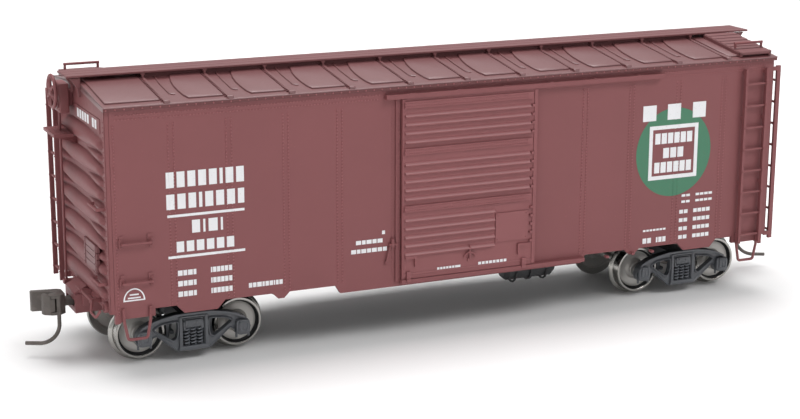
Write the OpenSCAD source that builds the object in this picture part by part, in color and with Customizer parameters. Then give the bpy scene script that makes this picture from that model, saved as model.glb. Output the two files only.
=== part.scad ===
// Model railway boxcar, sliding doors, two swivelling trucks.
// Millimetres, +X along the car, +Z up, z = 0 at the wheel flange bottoms.
// The hand brake end is at -X.

/* [Body shell] */
// length over the side sheets
body_length = 140.6; // [120:0.1:190]
// width over the side sheets
body_width = 34.5; // [28:0.1:42]
// underside of the roof at the eaves
eave_height = 49.4; // [42:0.1:60]
// side, end and roof sheet thickness
shell = 0.8; // [0.5:0.1:1.5]
// rise of the roof from eave to ridge
roof_rise = 1.6; // [0.5:0.1:4]
// eave overhang past the side sheets
eave_overhang = 0.6; // [0.2:0.1:1.5]
// end sheet set outside the side sheet ends
end_offset = 0.6; // [0.2:0.1:1.5]
// lower edge of the end sheets
end_bottom = 12.2; // [11:0.1:14]

/* [Side sill] */
// lower edge of the shallow sill
sill_shallow = 12.5; // [12:0.1:14]
// lower edge of the deep sill and the bolster tabs
sill_deep = 10.9; // [10:0.1:12]
// half length of the deep sill
sill_deep_half = 26.2; // [16:0.1:34]
// cross bearer tab distance from the middle
tab_x = 38.2; // [20:0.1:46]
// cross bearer tab half width
tab_half = 0.6; // [0.3:0.1:2]
// bolster tab half width at its lower edge
bolster_tab_half = 3.2; // [2:0.1:5]
// length of the corner sill section
corner_length = 7.7; // [4:0.1:9]
// lower edge of the corner sill section
corner_bottom = 11.1; // [10:0.1:12.4]

/* [Floor and frame] */
// floor top
floor_top = 13.8; // [13:0.1:16]
// floor thickness
floor_thick = 1.2; // [0.8:0.1:2]
// centre sill width
centre_sill_width = 3.8; // [3:0.1:5]
// centre sill lower edge
centre_sill_bottom = 10.2; // [10:0.1:11.5]
// centre sill end, behind the end sheet
sill_inset = 6.6; // [4:0.1:12]
// body bolster width along the car
body_bolster_width = 4.4; // [3:0.1:6]
// cross bearer width along the car
bearer_width = 1.0; // [0.6:0.1:2]
// inner cross bearer distance from the middle
inner_bearer_x = 10.6; // [6:0.1:12]
// ballast plate length
weight_length = 100; // [60:1:130]
// ballast plate width
weight_width = 26; // [10:0.5:30]
// ballast plate thickness
weight_thick = 2.0; // [0.5:0.1:3]

/* [Doors] */
// door opening width
door_opening = 28.0; // [18:0.1:34]
// top of the door opening
door_opening_top = 46.6; // [38:0.1:48]
// door panel width
door_width = 28.9; // [20:0.1:36]
// door panel offset towards its opening side
door_shift = 0.6; // [0:0.1:2]
// door panel thickness
door_thick = 0.7; // [0.4:0.1:1.2]
// gap between side sheet and door
door_gap = 0.2; // [0.1:0.05:0.5]
// door panel lower edge
door_bottom = 12.35; // [12:0.05:14]
// door panel upper edge
door_top = 47.6; // [40:0.1:49]
// door post width
post_width = 0.9; // [0.5:0.1:1.5]
// placard board width
board_width = 7.2; // [4:0.1:9]
// placard board height
board_height = 5.8; // [3:0.1:8]
// placard board centre, along the door from its middle
board_x = 9.2; // [0:0.1:10]
// placard board lower edge
board_bottom = 17.7; // [14:0.1:30]
// raised board thickness
board_thick = 0.25; // [0.15:0.05:0.5]

/* [Door tracks] */
// track clearance to the door edges
track_clear = 0.06; // [0.03:0.01:0.2]
// track depth out from the side sheet
track_depth = 1.2; // [0.9:0.1:2]
// upper track height
track_height = 0.9; // [0.5:0.1:1.5]
// track length past the closed door, opening side
track_run = 28.6; // [20:0.1:34]
// upper track length past the closed door, latch side
track_lead = 3.3; // [0.5:0.1:5]
// lower track height
low_track_height = 0.8; // [0.4:0.1:1.2]
// lower track length past the closed door, latch side
low_track_lead = 0.1; // [0:0.05:0.15]
// lower track past the closed door
low_track_run = 11.4; // [5:0.1:34]

/* [Roof] */
// roof seam pitch
seam_pitch = 11.9; // [8:0.1:16]
// number of seams
seam_count = 11; // [3:2:15]
// seam cap width
seam_width = 0.9; // [0.5:0.1:1.5]
// seam cap height above the sheet
seam_height = 0.45; // [0.2:0.05:0.8]
// running board top
board_top = 53.65; // [50:0.05:66]
// running board thickness
board_sheet = 0.6; // [0.4:0.1:1]
// running board half width
board_half = 3.37; // [2.5:0.01:5]
// running board overhang past the side sheets
board_overhang = 3.5; // [1:0.1:6]
// lateral board width along the car
lateral_width = 7.6; // [4:0.1:9]
// lateral board outer edge, in from the side sheet ends
lateral_inset = 0.1; // [0:0.1:3]
// lateral board thickness
lateral_thick = 0.6; // [0.4:0.1:1]
// lateral board outer end above the eave underside
lateral_end = 2.0; // [1.6:0.1:3]
// roof grab distance in from the lateral ends
roof_grab_height = 1.0; // [0.5:0.1:2]

/* [Ladders and steps] */
// ladder rung spacing
rung_pitch = 4.57; // [3:0.01:6]
// lowest rung height
rung_first = 12.9; // [12:0.1:15]
// number of rungs
rung_count = 8; // [4:1:9]
// rung wire diameter
wire = 0.5; // [0.3:0.05:0.8]
// ladder width over the stiles
ladder_width = 5.6; // [4:0.1:7]
// ladder stand-off from the sheet
ladder_gap = 0.5; // [0.3:0.1:1]
// stile depth
stile_depth = 0.9; // [0.5:0.1:1.4]
// stile thickness
stile_thick = 0.55; // [0.3:0.05:0.9]
// side ladder outer edge, in from the side sheet end
ladder_inset = 1.4; // [1:0.1:4]
// end ladder outer edge, in from the side sheet
end_ladder_inset = 0.2; // [0:0.1:2]
// grab iron reach from the sheet
grab_reach = 1.2; // [0.6:0.1:2]
// grab iron length
grab_length = 5.7; // [4:0.1:7]
// grab iron outer end, in from the side sheet end
grab_inset = 1.5; // [0.5:0.1:4]
// lower grab iron height
grab_low = 17.9; // [14:0.1:24]
// upper grab iron height
grab_high = 25.2; // [20:0.1:32]
// sill step drop to the underside of its tread
step_bottom = 6.9; // [5:0.1:9]
// sill step top, on the side sheet
step_top = 13.6; // [12.8:0.1:15]
// sill step width
step_width = 4.2; // [3:0.1:6]
// sill step strap thickness
step_strap = 0.5; // [0.3:0.1:0.8]
// sill step strap width
step_strap_width = 0.6; // [0.4:0.1:1]

/* [End corrugations] */
// number of main ribs
rib_count = 7; // [4:1:8]
// rib pitch
rib_pitch = 4.62; // [3:0.01:6]
// lowest rib height
rib_first = 15.4; // [14:0.1:20]
// rib width at its root
rib_root = 3.0; // [2:0.1:4]
// rib width at its crest
rib_crest = 1.0; // [0.5:0.1:2]
// rib height off the sheet
rib_height = 0.7; // [0.4:0.05:1]
// plain margin each side of the ribs
rib_margin = 2.2; // [1:0.1:4]

/* [Hand brake] */
// brake wheel diameter
brake_wheel_diameter = 6.6; // [5:0.1:8]
// brake wheel rim wire diameter
brake_rim = 0.7; // [0.4:0.05:1]
// brake wheel centre height
brake_wheel_z = 49.5; // [45:0.1:58]
// brake wheel offset to the left of the car's middle
brake_wheel_y = 5.3; // [4.2:0.1:8]
// brake wheel centre out from the end sheet
brake_wheel_out = 3.5; // [3.2:0.1:5]
// brake housing depth
housing_depth = 2.7; // [1.5:0.1:3.4]
// brake housing width
housing_width = 4.6; // [3:0.1:6]
// brake housing height
housing_height = 5.6; // [4:0.1:7]
// brake step top
brake_step_z = 42.1; // [30:0.1:44]
// brake step reach, from the brake wheel to the middle of the car
brake_step_reach = 4.1; // [3:0.1:5]
// gap between the brake step and the end ladder
brake_step_gap = 2.05; // [0.5:0.05:3]
// brake step depth
brake_step_depth = 3.7; // [2.5:0.1:5]
// vertical brake rod diameter
rod_diameter = 0.5; // [0.3:0.05:0.8]
// vertical brake rod out from the end sheet
rod_out = 2.3; // [1.8:0.1:4.2]
// vertical brake rod lower end
rod_bottom = 11.0; // [9.5:0.1:14]

/* [Couplers] */
// coupler centre height
coupler_z = 10.6; // [10:0.05:11.2]
// coupler pivot, behind the end sheet
coupler_inset = 3.7; // [2:0.1:6]
// coupler pivot post diameter
coupler_post = 1.8; // [1.2:0.1:2.4]
// running clearance at pins and journals, per side
fit_clear = 0.05; // [0.02:0.01:0.09]
// coupler shank width
shank_width = 2.4; // [1.8:0.1:3]
// coupler shank height
shank_height = 1.2; // [0.8:0.1:1.6]
// pivot to coupler head
shank_length = 8.1; // [7:0.1:10]
// coupler head height
head_height = 3.8; // [3:0.1:4.4]
// coupler box width
box_width = 7.2; // [6:0.1:9]
// coupler box front, out from the end sheet
box_out = 3.0; // [0.6:0.1:3.2]
// trip pin diameter
pin_diameter = 0.75; // [0.4:0.05:1]
// trip pin bend radius
pin_bend = 4.0; // [3:0.1:4.5]
// trip pin tip height, to its middle
pin_height = 2.6; // [1.6:0.1:3.6]

/* [Trucks] */
// distance between truck centres
truck_centres = 107.8; // [90:0.1:150]
// axle spacing in a truck
wheelbase = 19.2; // [17:0.1:22]
// wheel tread diameter
tread_diameter = 9.6; // [8:0.1:10.4]
// flange height
flange = 0.7; // [0.5:0.05:1]
// back to back spacing of the wheels
back_to_back = 14.4; // [14:0.05:14.8]
// wheel width
wheel_width = 2.7; // [2:0.05:3]
// axle body diameter
axle_diameter = 2.2; // [1.6:0.1:3]
// journal diameter
journal = 1.1; // [0.6:0.05:1.6]
// axle length over the journals
axle_length = 24.8; // [24:0.1:26]
// truck side frame inner face from the middle
frame_inner = 10.9; // [10.6:0.05:11.5]
// truck side frame thickness
frame_thick = 1.5; // [1:0.1:2]
// journal box face out from the side frame
box_face = 0.9; // [0.4:0.1:1.4]
// spring count per side frame
spring_count = 3; // [1:1:4]
// spring diameter
spring_diameter = 1.5; // [0.8:0.1:1.8]
// bolster depth, top to underside
bolster_depth = 3.4; // [2.5:0.1:4]
// truck bolster top, above the axles
bolster_rise = 4.1; // [3.6:0.05:4.4]
// king screw diameter
screw_diameter = 2.1; // [1.6:0.1:2.6]
// king screw head diameter
screw_head = 3.8; // [3:0.1:4.6]

/* [Air brake gear] */
// air reservoir diameter
reservoir_diameter = 4.6; // [3:0.1:5.4]
// air reservoir length
reservoir_length = 11.6; // [8:0.1:14]
// air reservoir centre along the car
reservoir_x = 18.6; // [10:0.1:26]
// air reservoir drop below the floor
reservoir_drop = 1.5; // [0.4:0.1:2.5]
// air reservoir centre from the middle
reservoir_y = 8.4; // [6:0.1:10]
// brake cylinder diameter
cylinder_diameter = 4.0; // [3:0.1:5]
// brake cylinder length
cylinder_length = 7.4; // [5:0.1:9]
// gap between the brake cylinder and the nearest wheel
cylinder_clear = 7.4; // [4:0.1:12]
// brake cylinder centre from the middle
cylinder_y = 7.6; // [6:0.1:10]
// train pipe diameter
pipe_diameter = 0.8; // [0.5:0.1:1.2]
// train pipe offset from the middle
pipe_y = 4.3; // [3.2:0.1:5]

/* [Hidden] */
$fn = 48;
half_l = body_length / 2;
half_w = body_width / 2;
end_out = half_l + end_offset;
end_in = end_out - shell;
floor_bottom = floor_top - floor_thick;
centre_sill_half = end_out - sill_inset;
coupler_pivot = end_out - coupler_inset;
roof_edge = half_w + eave_overhang;
ridge_under = eave_height + roof_rise;
roof_length = 2 * (end_out + 0.3);
sheet_top = eave_height + shell;
ridge_top = ridge_under + shell;
truck_x = truck_centres / 2;
axle_z = tread_diameter / 2 + flange;
bolster_top = axle_z + bolster_rise;
cylinder_x = truck_x - wheelbase / 2 - axle_z - cylinder_clear - cylinder_length;
push_rod = (cylinder_x - 0.8 - inner_bearer_x - bearer_width / 2) * 0.347;
end_ladder_side = half_w - end_ladder_inset - ladder_width;
tread_r = tread_diameter / 2;
wheel_in = back_to_back / 2;
wheel_out = wheel_in + wheel_width;
flange_width = 0.75;
frame_outer = frame_inner + frame_thick;
door_half = door_width / 2;
board_under = board_top - board_sheet;
box_front = end_out + box_out;
slope = (ridge_top - sheet_top) / roof_edge;
door_face = half_w + door_gap + door_thick;
ladder_out = half_w + ladder_gap + stile_depth;
rung_z = [for (i = [0 : rung_count - 1]) rung_first + i * rung_pitch];
ladder_top = min(rung_z[rung_count - 1] + 3.2, eave_height - 0.4);
end_ladder_in = end_out + rib_height + 0.4;
end_ladder_out = end_ladder_in + stile_depth;
head_back = coupler_pivot + shank_length;
knuckle_x = head_back + 2.2;
knuckle_y = -1.4;
cavity_low = coupler_z - shank_height / 2 - 0.1;
cavity_high = coupler_z + shank_height / 2 + 0.1;
box_low = cavity_low - 0.9;
box_back = centre_sill_half;
seam_z = seam_height + sheet_top;
brake_x = end_out + brake_wheel_out;

body_red = [0.45, 0.24, 0.25];
dark = [0.09, 0.09, 0.10];
truck_grey = [0.22, 0.23, 0.25];
steel = [0.55, 0.55, 0.54];

// ---------- helpers ----------

// a block given by its low and high corners
module block(a, b) {
    translate(a)
        cube([b[0] - a[0], b[1] - a[1], b[2] - a[2]]);
}

// a rod between two points that differ along one axis only
module rod_x(x0, x1, y, z, d) {
    translate([x0, y, z])
        rotate([0, 90, 0])
            cylinder(h = x1 - x0, d = d, $fn = 24);
}

module rod_y(x, y0, y1, z, d) {
    translate([x, y0, z])
        rotate([-90, 0, 0])
            cylinder(h = y1 - y0, d = d, $fn = 24);
}

module rod_z(x, y, z0, z1, d) {
    translate([x, y, z0])
        cylinder(h = z1 - z0, d = d, $fn = 24);
}

// a plate in the XZ plane, y0 to y1
module plate_xz(y0, y1) {
    translate([0, y1, 0])
        rotate([90, 0, 0])
            linear_extrude(height = y1 - y0)
                children();
}

// a plate in the YZ plane, x0 to x1
module plate_yz(x0, x1) {
    translate([x0, 0, 0])
        rotate([90, 0, 90])
            linear_extrude(height = x1 - x0)
                children();
}

// the piece and its half-turn copy
module half_turn() {
    children();
    rotate([0, 0, 180])
        children();
}

// ---------- shell ----------

module sill_half_profile() {
    polygon([
        [0, sill_deep],
        [sill_deep_half, sill_deep],
        [sill_deep_half + 1.0, sill_shallow],
        [tab_x - tab_half - 1.1, sill_shallow],
        [tab_x - tab_half, sill_deep + 0.5],
        [tab_x + tab_half, sill_deep + 0.5],
        [tab_x + tab_half + 1.1, sill_shallow],
        [truck_x - bolster_tab_half - 1.5, sill_shallow],
        [truck_x - bolster_tab_half, sill_deep],
        [truck_x + bolster_tab_half, sill_deep],
        [truck_x + bolster_tab_half + 1.5, sill_shallow],
        [half_l - corner_length, sill_shallow],
        [half_l - corner_length, corner_bottom],
        [half_l - 2.0, corner_bottom],
        [half_l - 1.0, corner_bottom - 0.8],
        [half_l, corner_bottom - 0.8],
        [half_l, eave_height],
        [0, eave_height]
    ]);
}

module side_panel() {
    plate_xz(-half_w, -half_w + shell)
        difference() {
            union() {
                intersection() {
                    sill_half_profile();
                    translate([-1, 0])
                        square([end_in + 1, eave_height]);
                }
                mirror([1, 0])
                    intersection() {
                        sill_half_profile();
                        translate([-1, 0])
                            square([end_in + 1, eave_height]);
                    }
            }
            translate([-door_opening / 2, floor_top])
                square([door_opening, door_opening_top - floor_top]);
        }
    // door posts standing proud of the sheet
    block([door_shift - door_half - post_width - 0.15, -half_w - 0.35, sill_deep + 1.0],
        [door_shift - door_half - 0.15, -half_w, door_top]);
}

module side_right() {
    color(body_red)
        side_panel();
}

module side_left() {
    color(body_red)
        rotate([0, 0, 180])
            side_panel();
}

module rib() {
    polygon([
        [0, -rib_root / 2],
        [rib_height, -rib_crest / 2],
        [rib_height, rib_crest / 2],
        [0, rib_root / 2]
    ]);
}

module end_panel() {
    plate_yz(end_in, end_out)
        difference() {
            polygon([
                [-half_w, end_bottom],
                [half_w, end_bottom],
                [half_w, eave_height],
                [0, ridge_under],
                [-half_w, eave_height]
            ]);
            // notch over the coupler box
            translate([-box_width / 2 - 0.05, end_bottom - 1])
                square([box_width + 0.1, floor_bottom - end_bottom + 1.05]);
        }
    for (i = [0 : rib_count - 1])
        translate([end_out - 0.01, half_w - rib_margin, rib_first + i * rib_pitch])
            rotate([90, 0, 0])
                linear_extrude(height = 2 * (half_w - rib_margin))
                    rib();
}

module end_a() {
    color(body_red)
        end_panel();
}

module end_b() {
    color(body_red)
        rotate([0, 0, 180])
            end_panel();
}

module roof() {
    color(body_red) {
        plate_yz(-roof_length / 2, roof_length / 2)
            polygon([
                [-roof_edge, eave_height],
                [-half_w, eave_height],
                [0, ridge_under],
                [half_w, eave_height],
                [roof_edge, eave_height],
                [roof_edge, sheet_top],
                [0, ridge_top],
                [-roof_edge, sheet_top]
            ]);
        for (i = [0 : seam_count - 1])
            let (x = (i - (seam_count - 1) / 2) * seam_pitch)
                plate_yz(x - seam_width / 2, x + seam_width / 2)
                    polygon([
                        [-roof_edge, sheet_top - 0.3],
                        [roof_edge, sheet_top - 0.3],
                        [roof_edge, sheet_top + seam_height * 0.6],
                        [roof_edge - 0.3, sheet_top + seam_height],
                        [0, ridge_top + seam_height],
                        [-roof_edge + 0.3, sheet_top + seam_height],
                        [-roof_edge, sheet_top + seam_height * 0.6]
                    ]);
    }
}

module running_board() {
    color(body_red) {
        block([-half_l - board_overhang, -board_half, board_under],
            [half_l + board_overhang, board_half, board_top]);
        for (i = [0 : seam_count - 1])
            let (x = (i - (seam_count - 1) / 2) * seam_pitch)
                plate_yz(x - seam_width / 2, x + seam_width / 2)
                    polygon([
                        [-board_half + 0.2, ridge_top + seam_height - slope * (board_half - 0.2)],
                        [0, ridge_top + seam_height],
                        [board_half - 0.2, ridge_top + seam_height - slope * (board_half - 0.2)],
                        [board_half - 0.2, board_under + 0.1],
                        [-board_half + 0.2, board_under + 0.1]
                    ]);
    }
}

// one sloping board from the running board to the eave, at +X and -Y
module lateral_board() {
    x1 = half_l - lateral_inset;
    x0 = x1 - lateral_width;
    y0 = board_half;
    y1 = half_w;
    z0 = board_top - 0.3;
    z1 = eave_height + lateral_end;
    plate_yz(x0, x1)
        polygon([
            [-y1, z1 - lateral_thick],
            [-y0, z0 - lateral_thick],
            [-y0, z0],
            [-y1, z1]
        ]);
    // end feet on the roof
    for (x = [x0 + 0.4, x1 - 1.2])
        block([x, -y1 + 0.2, sheet_top + slope * (roof_edge - y1 + 1.0) + 0.02],
            [x + 0.8, -y1 + 1.0, z1 - 0.3]);
}

module lateral_boards() {
    color(body_red)
        half_turn()
            lateral_board();
}

module roof_grabs() {
    x1 = half_l - lateral_inset - 0.6;
    x0 = x1 - lateral_width + 1.2;
    y = -half_w + 3.0;
    zb = eave_height + lateral_end + slope_lateral() * 3.0 + 0.04;
    color(body_red)
        half_turn() {
            rod_x(x0 - wire / 2, x1 + wire / 2, y, zb + roof_grab_height, wire);
            rod_z(x0, y, zb, zb + roof_grab_height, wire);
            rod_z(x1, y, zb, zb + roof_grab_height, wire);
        }
}

function slope_lateral() =
    (board_top - 0.3 - eave_height - lateral_end) / (half_w - board_half);

// ---------- floor and frame ----------

module floor_plate() {
    color(dark)
        difference() {
            block([-end_in, -half_w + shell, floor_bottom], [end_in, half_w - shell, floor_top]);
            for (s = [-1, 1])
                translate([s * truck_x, 0, floor_bottom - 1])
                    cylinder(h = floor_thick + 2, d = screw_diameter);
        }
}

module centre_sill() {
    color(dark)
        difference() {
            block([-centre_sill_half, -centre_sill_width / 2, centre_sill_bottom],
                [centre_sill_half, centre_sill_width / 2, floor_bottom]);
            for (s = [-1, 1])
                translate([s * truck_x, 0, centre_sill_bottom - 1])
                    cylinder(h = 6, d = screw_diameter);
        }
}

module cross_members() {
    color(dark) {
        for (s = [-1, 1])
            for (t = [-1, 1]) {
                // body bolster arms
                plate_yz(s * truck_x - body_bolster_width / 2, s * truck_x + body_bolster_width / 2)
                    polygon([
                        [t * centre_sill_width / 2, centre_sill_bottom + 0.6],
                        [t * (half_w - shell), sill_deep + 0.5],
                        [t * (half_w - shell), floor_bottom],
                        [t * centre_sill_width / 2, floor_bottom]
                    ]);
                // cross bearers
                for (x = [tab_x, inner_bearer_x])
                    plate_yz(s * x - bearer_width / 2, s * x + bearer_width / 2)
                        polygon([
                            [t * centre_sill_width / 2, centre_sill_bottom],
                            [t * (centre_sill_width / 2 + 3), centre_sill_bottom],
                            [t * (half_w - shell), sill_shallow - 0.9],
                            [t * (half_w - shell), floor_bottom],
                            [t * centre_sill_width / 2, floor_bottom]
                        ]);
            }
        // centre plates
        for (s = [-1, 1])
            translate([s * truck_x, 0, bolster_top + 0.05])
                difference() {
                    cylinder(h = centre_sill_bottom - bolster_top - 0.05, d = 5.2);
                    translate([0, 0, -1])
                        cylinder(h = 3, d = screw_diameter);
                }
    }
}

module weight() {
    color(steel)
        difference() {
            block([-weight_length / 2, -weight_width / 2, floor_top],
                [weight_length / 2, weight_width / 2, floor_top + weight_thick]);
        }
}

// ---------- doors ----------

module door_panel() {
    x0 = door_shift - door_half;
    x1 = door_shift + door_half;
    block([x0, -door_face, door_bottom], [x1, -half_w - door_gap, door_top]);
    // placard board
    block([door_shift + board_x - board_width / 2, -door_face - board_thick, board_bottom],
        [door_shift + board_x + board_width / 2, -door_face, board_bottom + board_height]);
}

module door_right() {
    color(body_red)
        door_panel();
}

module door_left() {
    color(body_red)
        rotate([0, 0, 180])
            door_panel();
}

module door_tracks() {
    x1 = door_shift + door_half + track_run;
    ux0 = door_shift - door_half - track_lead;
    lx0 = door_shift - door_half - low_track_lead;
    // upper track
    block([ux0, -half_w - track_depth, door_top + track_clear],
        [x1, -half_w, door_top + track_clear + track_height]);
    // lower track, a ledge under the door
    block([lx0, -half_w - track_depth, door_bottom - track_clear - low_track_height],
        [door_shift + door_half + low_track_run, -half_w, door_bottom - track_clear]);
}

module tracks_right() {
    color(body_red)
        door_tracks();
}

module tracks_left() {
    color(body_red)
        rotate([0, 0, 180])
            door_tracks();
}

// ---------- ladders, irons, steps ----------

module side_ladder() {
    x1 = half_l - ladder_inset;
    x0 = x1 - ladder_width;
    for (x = [x0, x1 - stile_thick]) {
        block([x, -ladder_out, rung_first - 1.7], [x + stile_thick, -half_w - ladder_gap, ladder_top]);
        for (z = [rung_first - 1.0, rung_z[2] + 1.6, rung_z[5] + 1.6, ladder_top - 1.2])
            block([x, -half_w - ladder_gap - 0.05, z], [x + stile_thick, -half_w, z + 0.8]);
    }
    for (z = rung_z)
        rod_x(x0 + stile_thick - 0.1, x1 - stile_thick + 0.1, -ladder_out + wire, z, wire);
}

module side_ladders() {
    color(body_red)
        half_turn()
            side_ladder();
}

// at +X and -Y
module end_ladder() {
    y1 = half_w - end_ladder_inset;
    y0 = y1 - ladder_width;
    for (y = [-y1, -y0 - stile_thick]) {
        block([end_ladder_in, y, rung_first - 1.7], [end_ladder_out, y + stile_thick, ladder_top]);
        for (z = [rung_first - 1.0, ladder_top - 1.0])
            block([end_out, y, z], [end_ladder_in + 0.05, y + stile_thick, z + 0.8]);
    }
    for (z = rung_z)
        rod_y(end_ladder_out - wire, -y1 + stile_thick - 0.1, -y0 - stile_thick + 0.1, z, wire);
}

module end_ladders() {
    color(body_red)
        half_turn()
            end_ladder();
}

// a grab iron on the right side at the hand brake end
module side_grab(z) {
    x0 = -half_l + grab_inset;
    x1 = x0 + grab_length;
    y = -half_w - grab_reach + wire / 2;
    rod_x(x0, x1, y, z, wire);
    for (x = [x0, x1 - wire]) {
        block([x, y, z - wire / 2], [x + wire, -half_w, z + wire / 2]);
        block([x - 0.15, -half_w - 0.2, z - 0.2], [x + wire + 0.15, -half_w, z + 1.5]);
    }
}

// grab irons on the end, on the side away from the ladder
module end_grab(z) {
    y0 = half_w - 1.0 - grab_length;
    y1 = half_w - 1.0;
    x = end_out + rib_height + 0.9;
    rod_y(x, y0, y1, z, wire);
    for (y = [y0, y1 - wire])
        block([end_out, y, z - wire / 2], [x, y + wire, z + wire / 2]);
}

module grab_irons() {
    color(body_red)
        half_turn() {
            side_grab(grab_low);
            side_grab(grab_high);
            end_grab(rib_first + rib_pitch / 2);
            end_grab(rib_first + rib_pitch * 3.5);
        }
}

// a sill step on the right side, x0 to x0 + step_width
module sill_step(x0) {
    y0 = -half_w - step_strap;
    for (x = [x0, x0 + step_width - step_strap_width])
        block([x, y0, step_bottom], [x + step_strap_width, -half_w, step_top]);
    block([x0, y0 - 0.3, step_bottom], [x0 + step_width, -half_w + 0.3, step_bottom + step_strap]);
}

module sill_steps() {
    color(body_red)
        half_turn() {
            sill_step(-half_l + 2.1);
            sill_step(half_l - 2.1 - step_width);
        }
}

// ---------- hand brake and end gear, at -X ----------

module brake_wheel() {
    color(body_red)
        translate([-brake_x, brake_wheel_y, brake_wheel_z])
            rotate([0, -90, 0]) {
                rotate_extrude($fn = 64)
                    translate([(brake_wheel_diameter - brake_rim) / 2, 0])
                        circle(d = brake_rim, $fn = 16);
                for (i = [0 : 4])
                    rotate([0, 0, i * 72])
                        translate([0, -0.25, -0.2])
                            cube([(brake_wheel_diameter - brake_rim) / 2, 0.5, 0.4]);
                translate([0, 0, -(brake_wheel_out - housing_depth)])
                    cylinder(h = brake_wheel_out - housing_depth + 0.4, d = 1.2);
            }
}

module brake_housing() {
    z1 = brake_wheel_z + 1.7;
    z0 = z1 - housing_height;
    y0 = brake_wheel_y - housing_width / 2;
    y1 = brake_wheel_y + housing_width / 2;
    color(body_red) {
        block([-end_out - housing_depth, y0, z0], [-end_out - rib_height - 0.2, y1, z1]);
        block([-end_out - rib_height - 0.3, y0 + 0.8, z0 + 1.2], [-end_out, y1 - 0.8, z1 - 1.4]);
    }
}

module brake_step() {
    y0 = brake_wheel_y - brake_step_reach;
    y1 = end_ladder_side - brake_step_gap;
    x1 = -end_out - rib_height - 0.1;
    x0 = x1 - brake_step_depth;
    color(body_red) {
        difference() {
            union() {
                block([x0, y0, brake_step_z - 0.6], [x1, y1, brake_step_z]);
                for (y = [y0 + 0.6, y1 - 1.1])
                    plate_xz(y, y + 0.5)
                        polygon([
                            [x0 + 0.6, brake_step_z - 0.6],
                            [-end_out, brake_step_z - 2.05],
                            [-end_out, brake_step_z - 0.6]
                        ]);
            }
            rod_z(-end_out - rod_out, brake_wheel_y, brake_step_z - 4.5, brake_step_z + 1,
                rod_diameter + 0.6);
        }
    }
}

module brake_rod() {
    color(body_red) {
        rod_z(-end_out - rod_out, brake_wheel_y, rod_bottom,
            brake_wheel_z + 1.7 - housing_height, rod_diameter);
        // clevis at the foot, carried from the end sheet
        block([-end_out - rod_out - 0.6, brake_wheel_y - 0.6, rod_bottom + 1.4],
            [-end_out, brake_wheel_y + 0.6, rod_bottom + 2.2]);
    }
}

// at +X: lever along the end from the middle to the +Y corner
module uncoupling_lever() {
    x = end_out + 1.9;
    z = end_bottom + 1.1;
    rod_y(x, 0.4, half_w - 0.6, z, wire);
    // brackets
    for (y = [2.6, half_w - 3.4])
        block([end_out, y, z - 0.5], [x + 0.4, y + 0.6, z + 0.5]);
    // handle
    block([x - wire / 2, half_w - 0.6 - wire, z - 3.6], [x + wire / 2, half_w - 0.6, z]);
    // drop to the coupler
    block([x - wire / 2, 0.4, floor_bottom], [x + wire / 2, 0.9, z]);
}

module uncoupling_levers() {
    color(body_red)
        half_turn()
            uncoupling_lever();
}

module tack_boards() {
    x = end_out + rib_height;
    z = rib_first + rib_pitch;
    color(body_red)
        half_turn()
            block([x, 4.9, z - 0.9], [x + 0.35, 13.5, z + 4.1]);
}

// ---------- couplers, built pointing to +X ----------

module coupler_box() {
    color(body_red) {
        difference() {
            block([box_back, -box_width / 2, box_low], [box_front, box_width / 2, floor_bottom]);
            block([box_back + 0.7, -box_width / 2 + 0.7, cavity_low],
                [box_front + 1, box_width / 2 - 0.7, cavity_high]);
        }
        rod_z(coupler_pivot, 0, cavity_low - 0.1, cavity_high + 0.1, coupler_post);
    }
}

module coupler_box_a() {
    coupler_box();
}

module coupler_box_b() {
    rotate([0, 0, 180])
        coupler_box();
}

// plan of the head: the guard arm is on -Y, the knuckle on +Y
module head_plan() {
    polygon([
        [0, -1.5],
        [0.7, -2.1],
        [5.4, -3.0],
        [5.7, -2.5],
        [5.5, -1.7],
        [4.2, -1.5],
        [2.4, -0.7],
        [1.8, 0.2],
        [1.8, 2.3],
        [1.2, 2.5],
        [0, 1.6]
    ]);
}

module coupler() {
    z0 = coupler_z - head_height / 2;
    z1 = coupler_z + head_height / 2;
    color([0.38, 0.36, 0.34]) {
        // shank
        difference() {
            union() {
                block([coupler_pivot, -shank_width / 2, coupler_z - shank_height / 2],
                    [head_back + 0.2, shank_width / 2, coupler_z + shank_height / 2]);
                rod_z(coupler_pivot, 0, coupler_z - shank_height / 2,
                    coupler_z + shank_height / 2, coupler_post + 1.6);
            }
            rod_z(coupler_pivot, 0, coupler_z - 2, coupler_z + 2, coupler_post + 2 * fit_clear);
        }
        // head
        translate([head_back, 0, z0])
            linear_extrude(height = head_height)
                head_plan();
        // knuckle lugs
        for (z = [z0, z1 - 0.6])
            translate([knuckle_x, -knuckle_y, z])
                difference() {
                    union() {
                        cylinder(h = 0.6, d = 2.0);
                        translate([-1.2, -1.0, 0])
                            cube([1.2, 2.0, 0.6]);
                    }
                }
        // trip pin
        trip_pin(z0);
    }
}

module trip_pin(z_top) {
    dir = -27;
    bend_z = pin_height + pin_bend;
    translate([head_back + 1.1, 0.9, 0])
        rotate([0, 0, dir]) {
            rod_z(0, 0, bend_z, z_top + 0.3, pin_diameter);
            translate([pin_bend, 0, bend_z])
                rotate([90, 0, 0])
                    rotate([0, 0, 180])
                        rotate_extrude(angle = 90, $fn = 48)
                            translate([pin_bend, 0])
                                circle(d = pin_diameter, $fn = 24);
            rod_x(pin_bend, pin_bend + 2.6, 0, pin_height, pin_diameter);
        }
}

module coupler_a() {
    coupler();
}

module coupler_b() {
    rotate([0, 0, 180])
        coupler();
}

// plan of the knuckle about its pin
module knuckle_plan() {
    polygon([
        [0, 0.9],
        [0.9, 0.8],
        [1.9, 0.1],
        [2.1, -0.8],
        [1.7, -1.6],
        [1.2, -1.7],
        [0.9, -1.1],
        [0.4, -0.8],
        [-0.1, -0.9],
        [-0.1, 0.9]
    ]);
}

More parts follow.
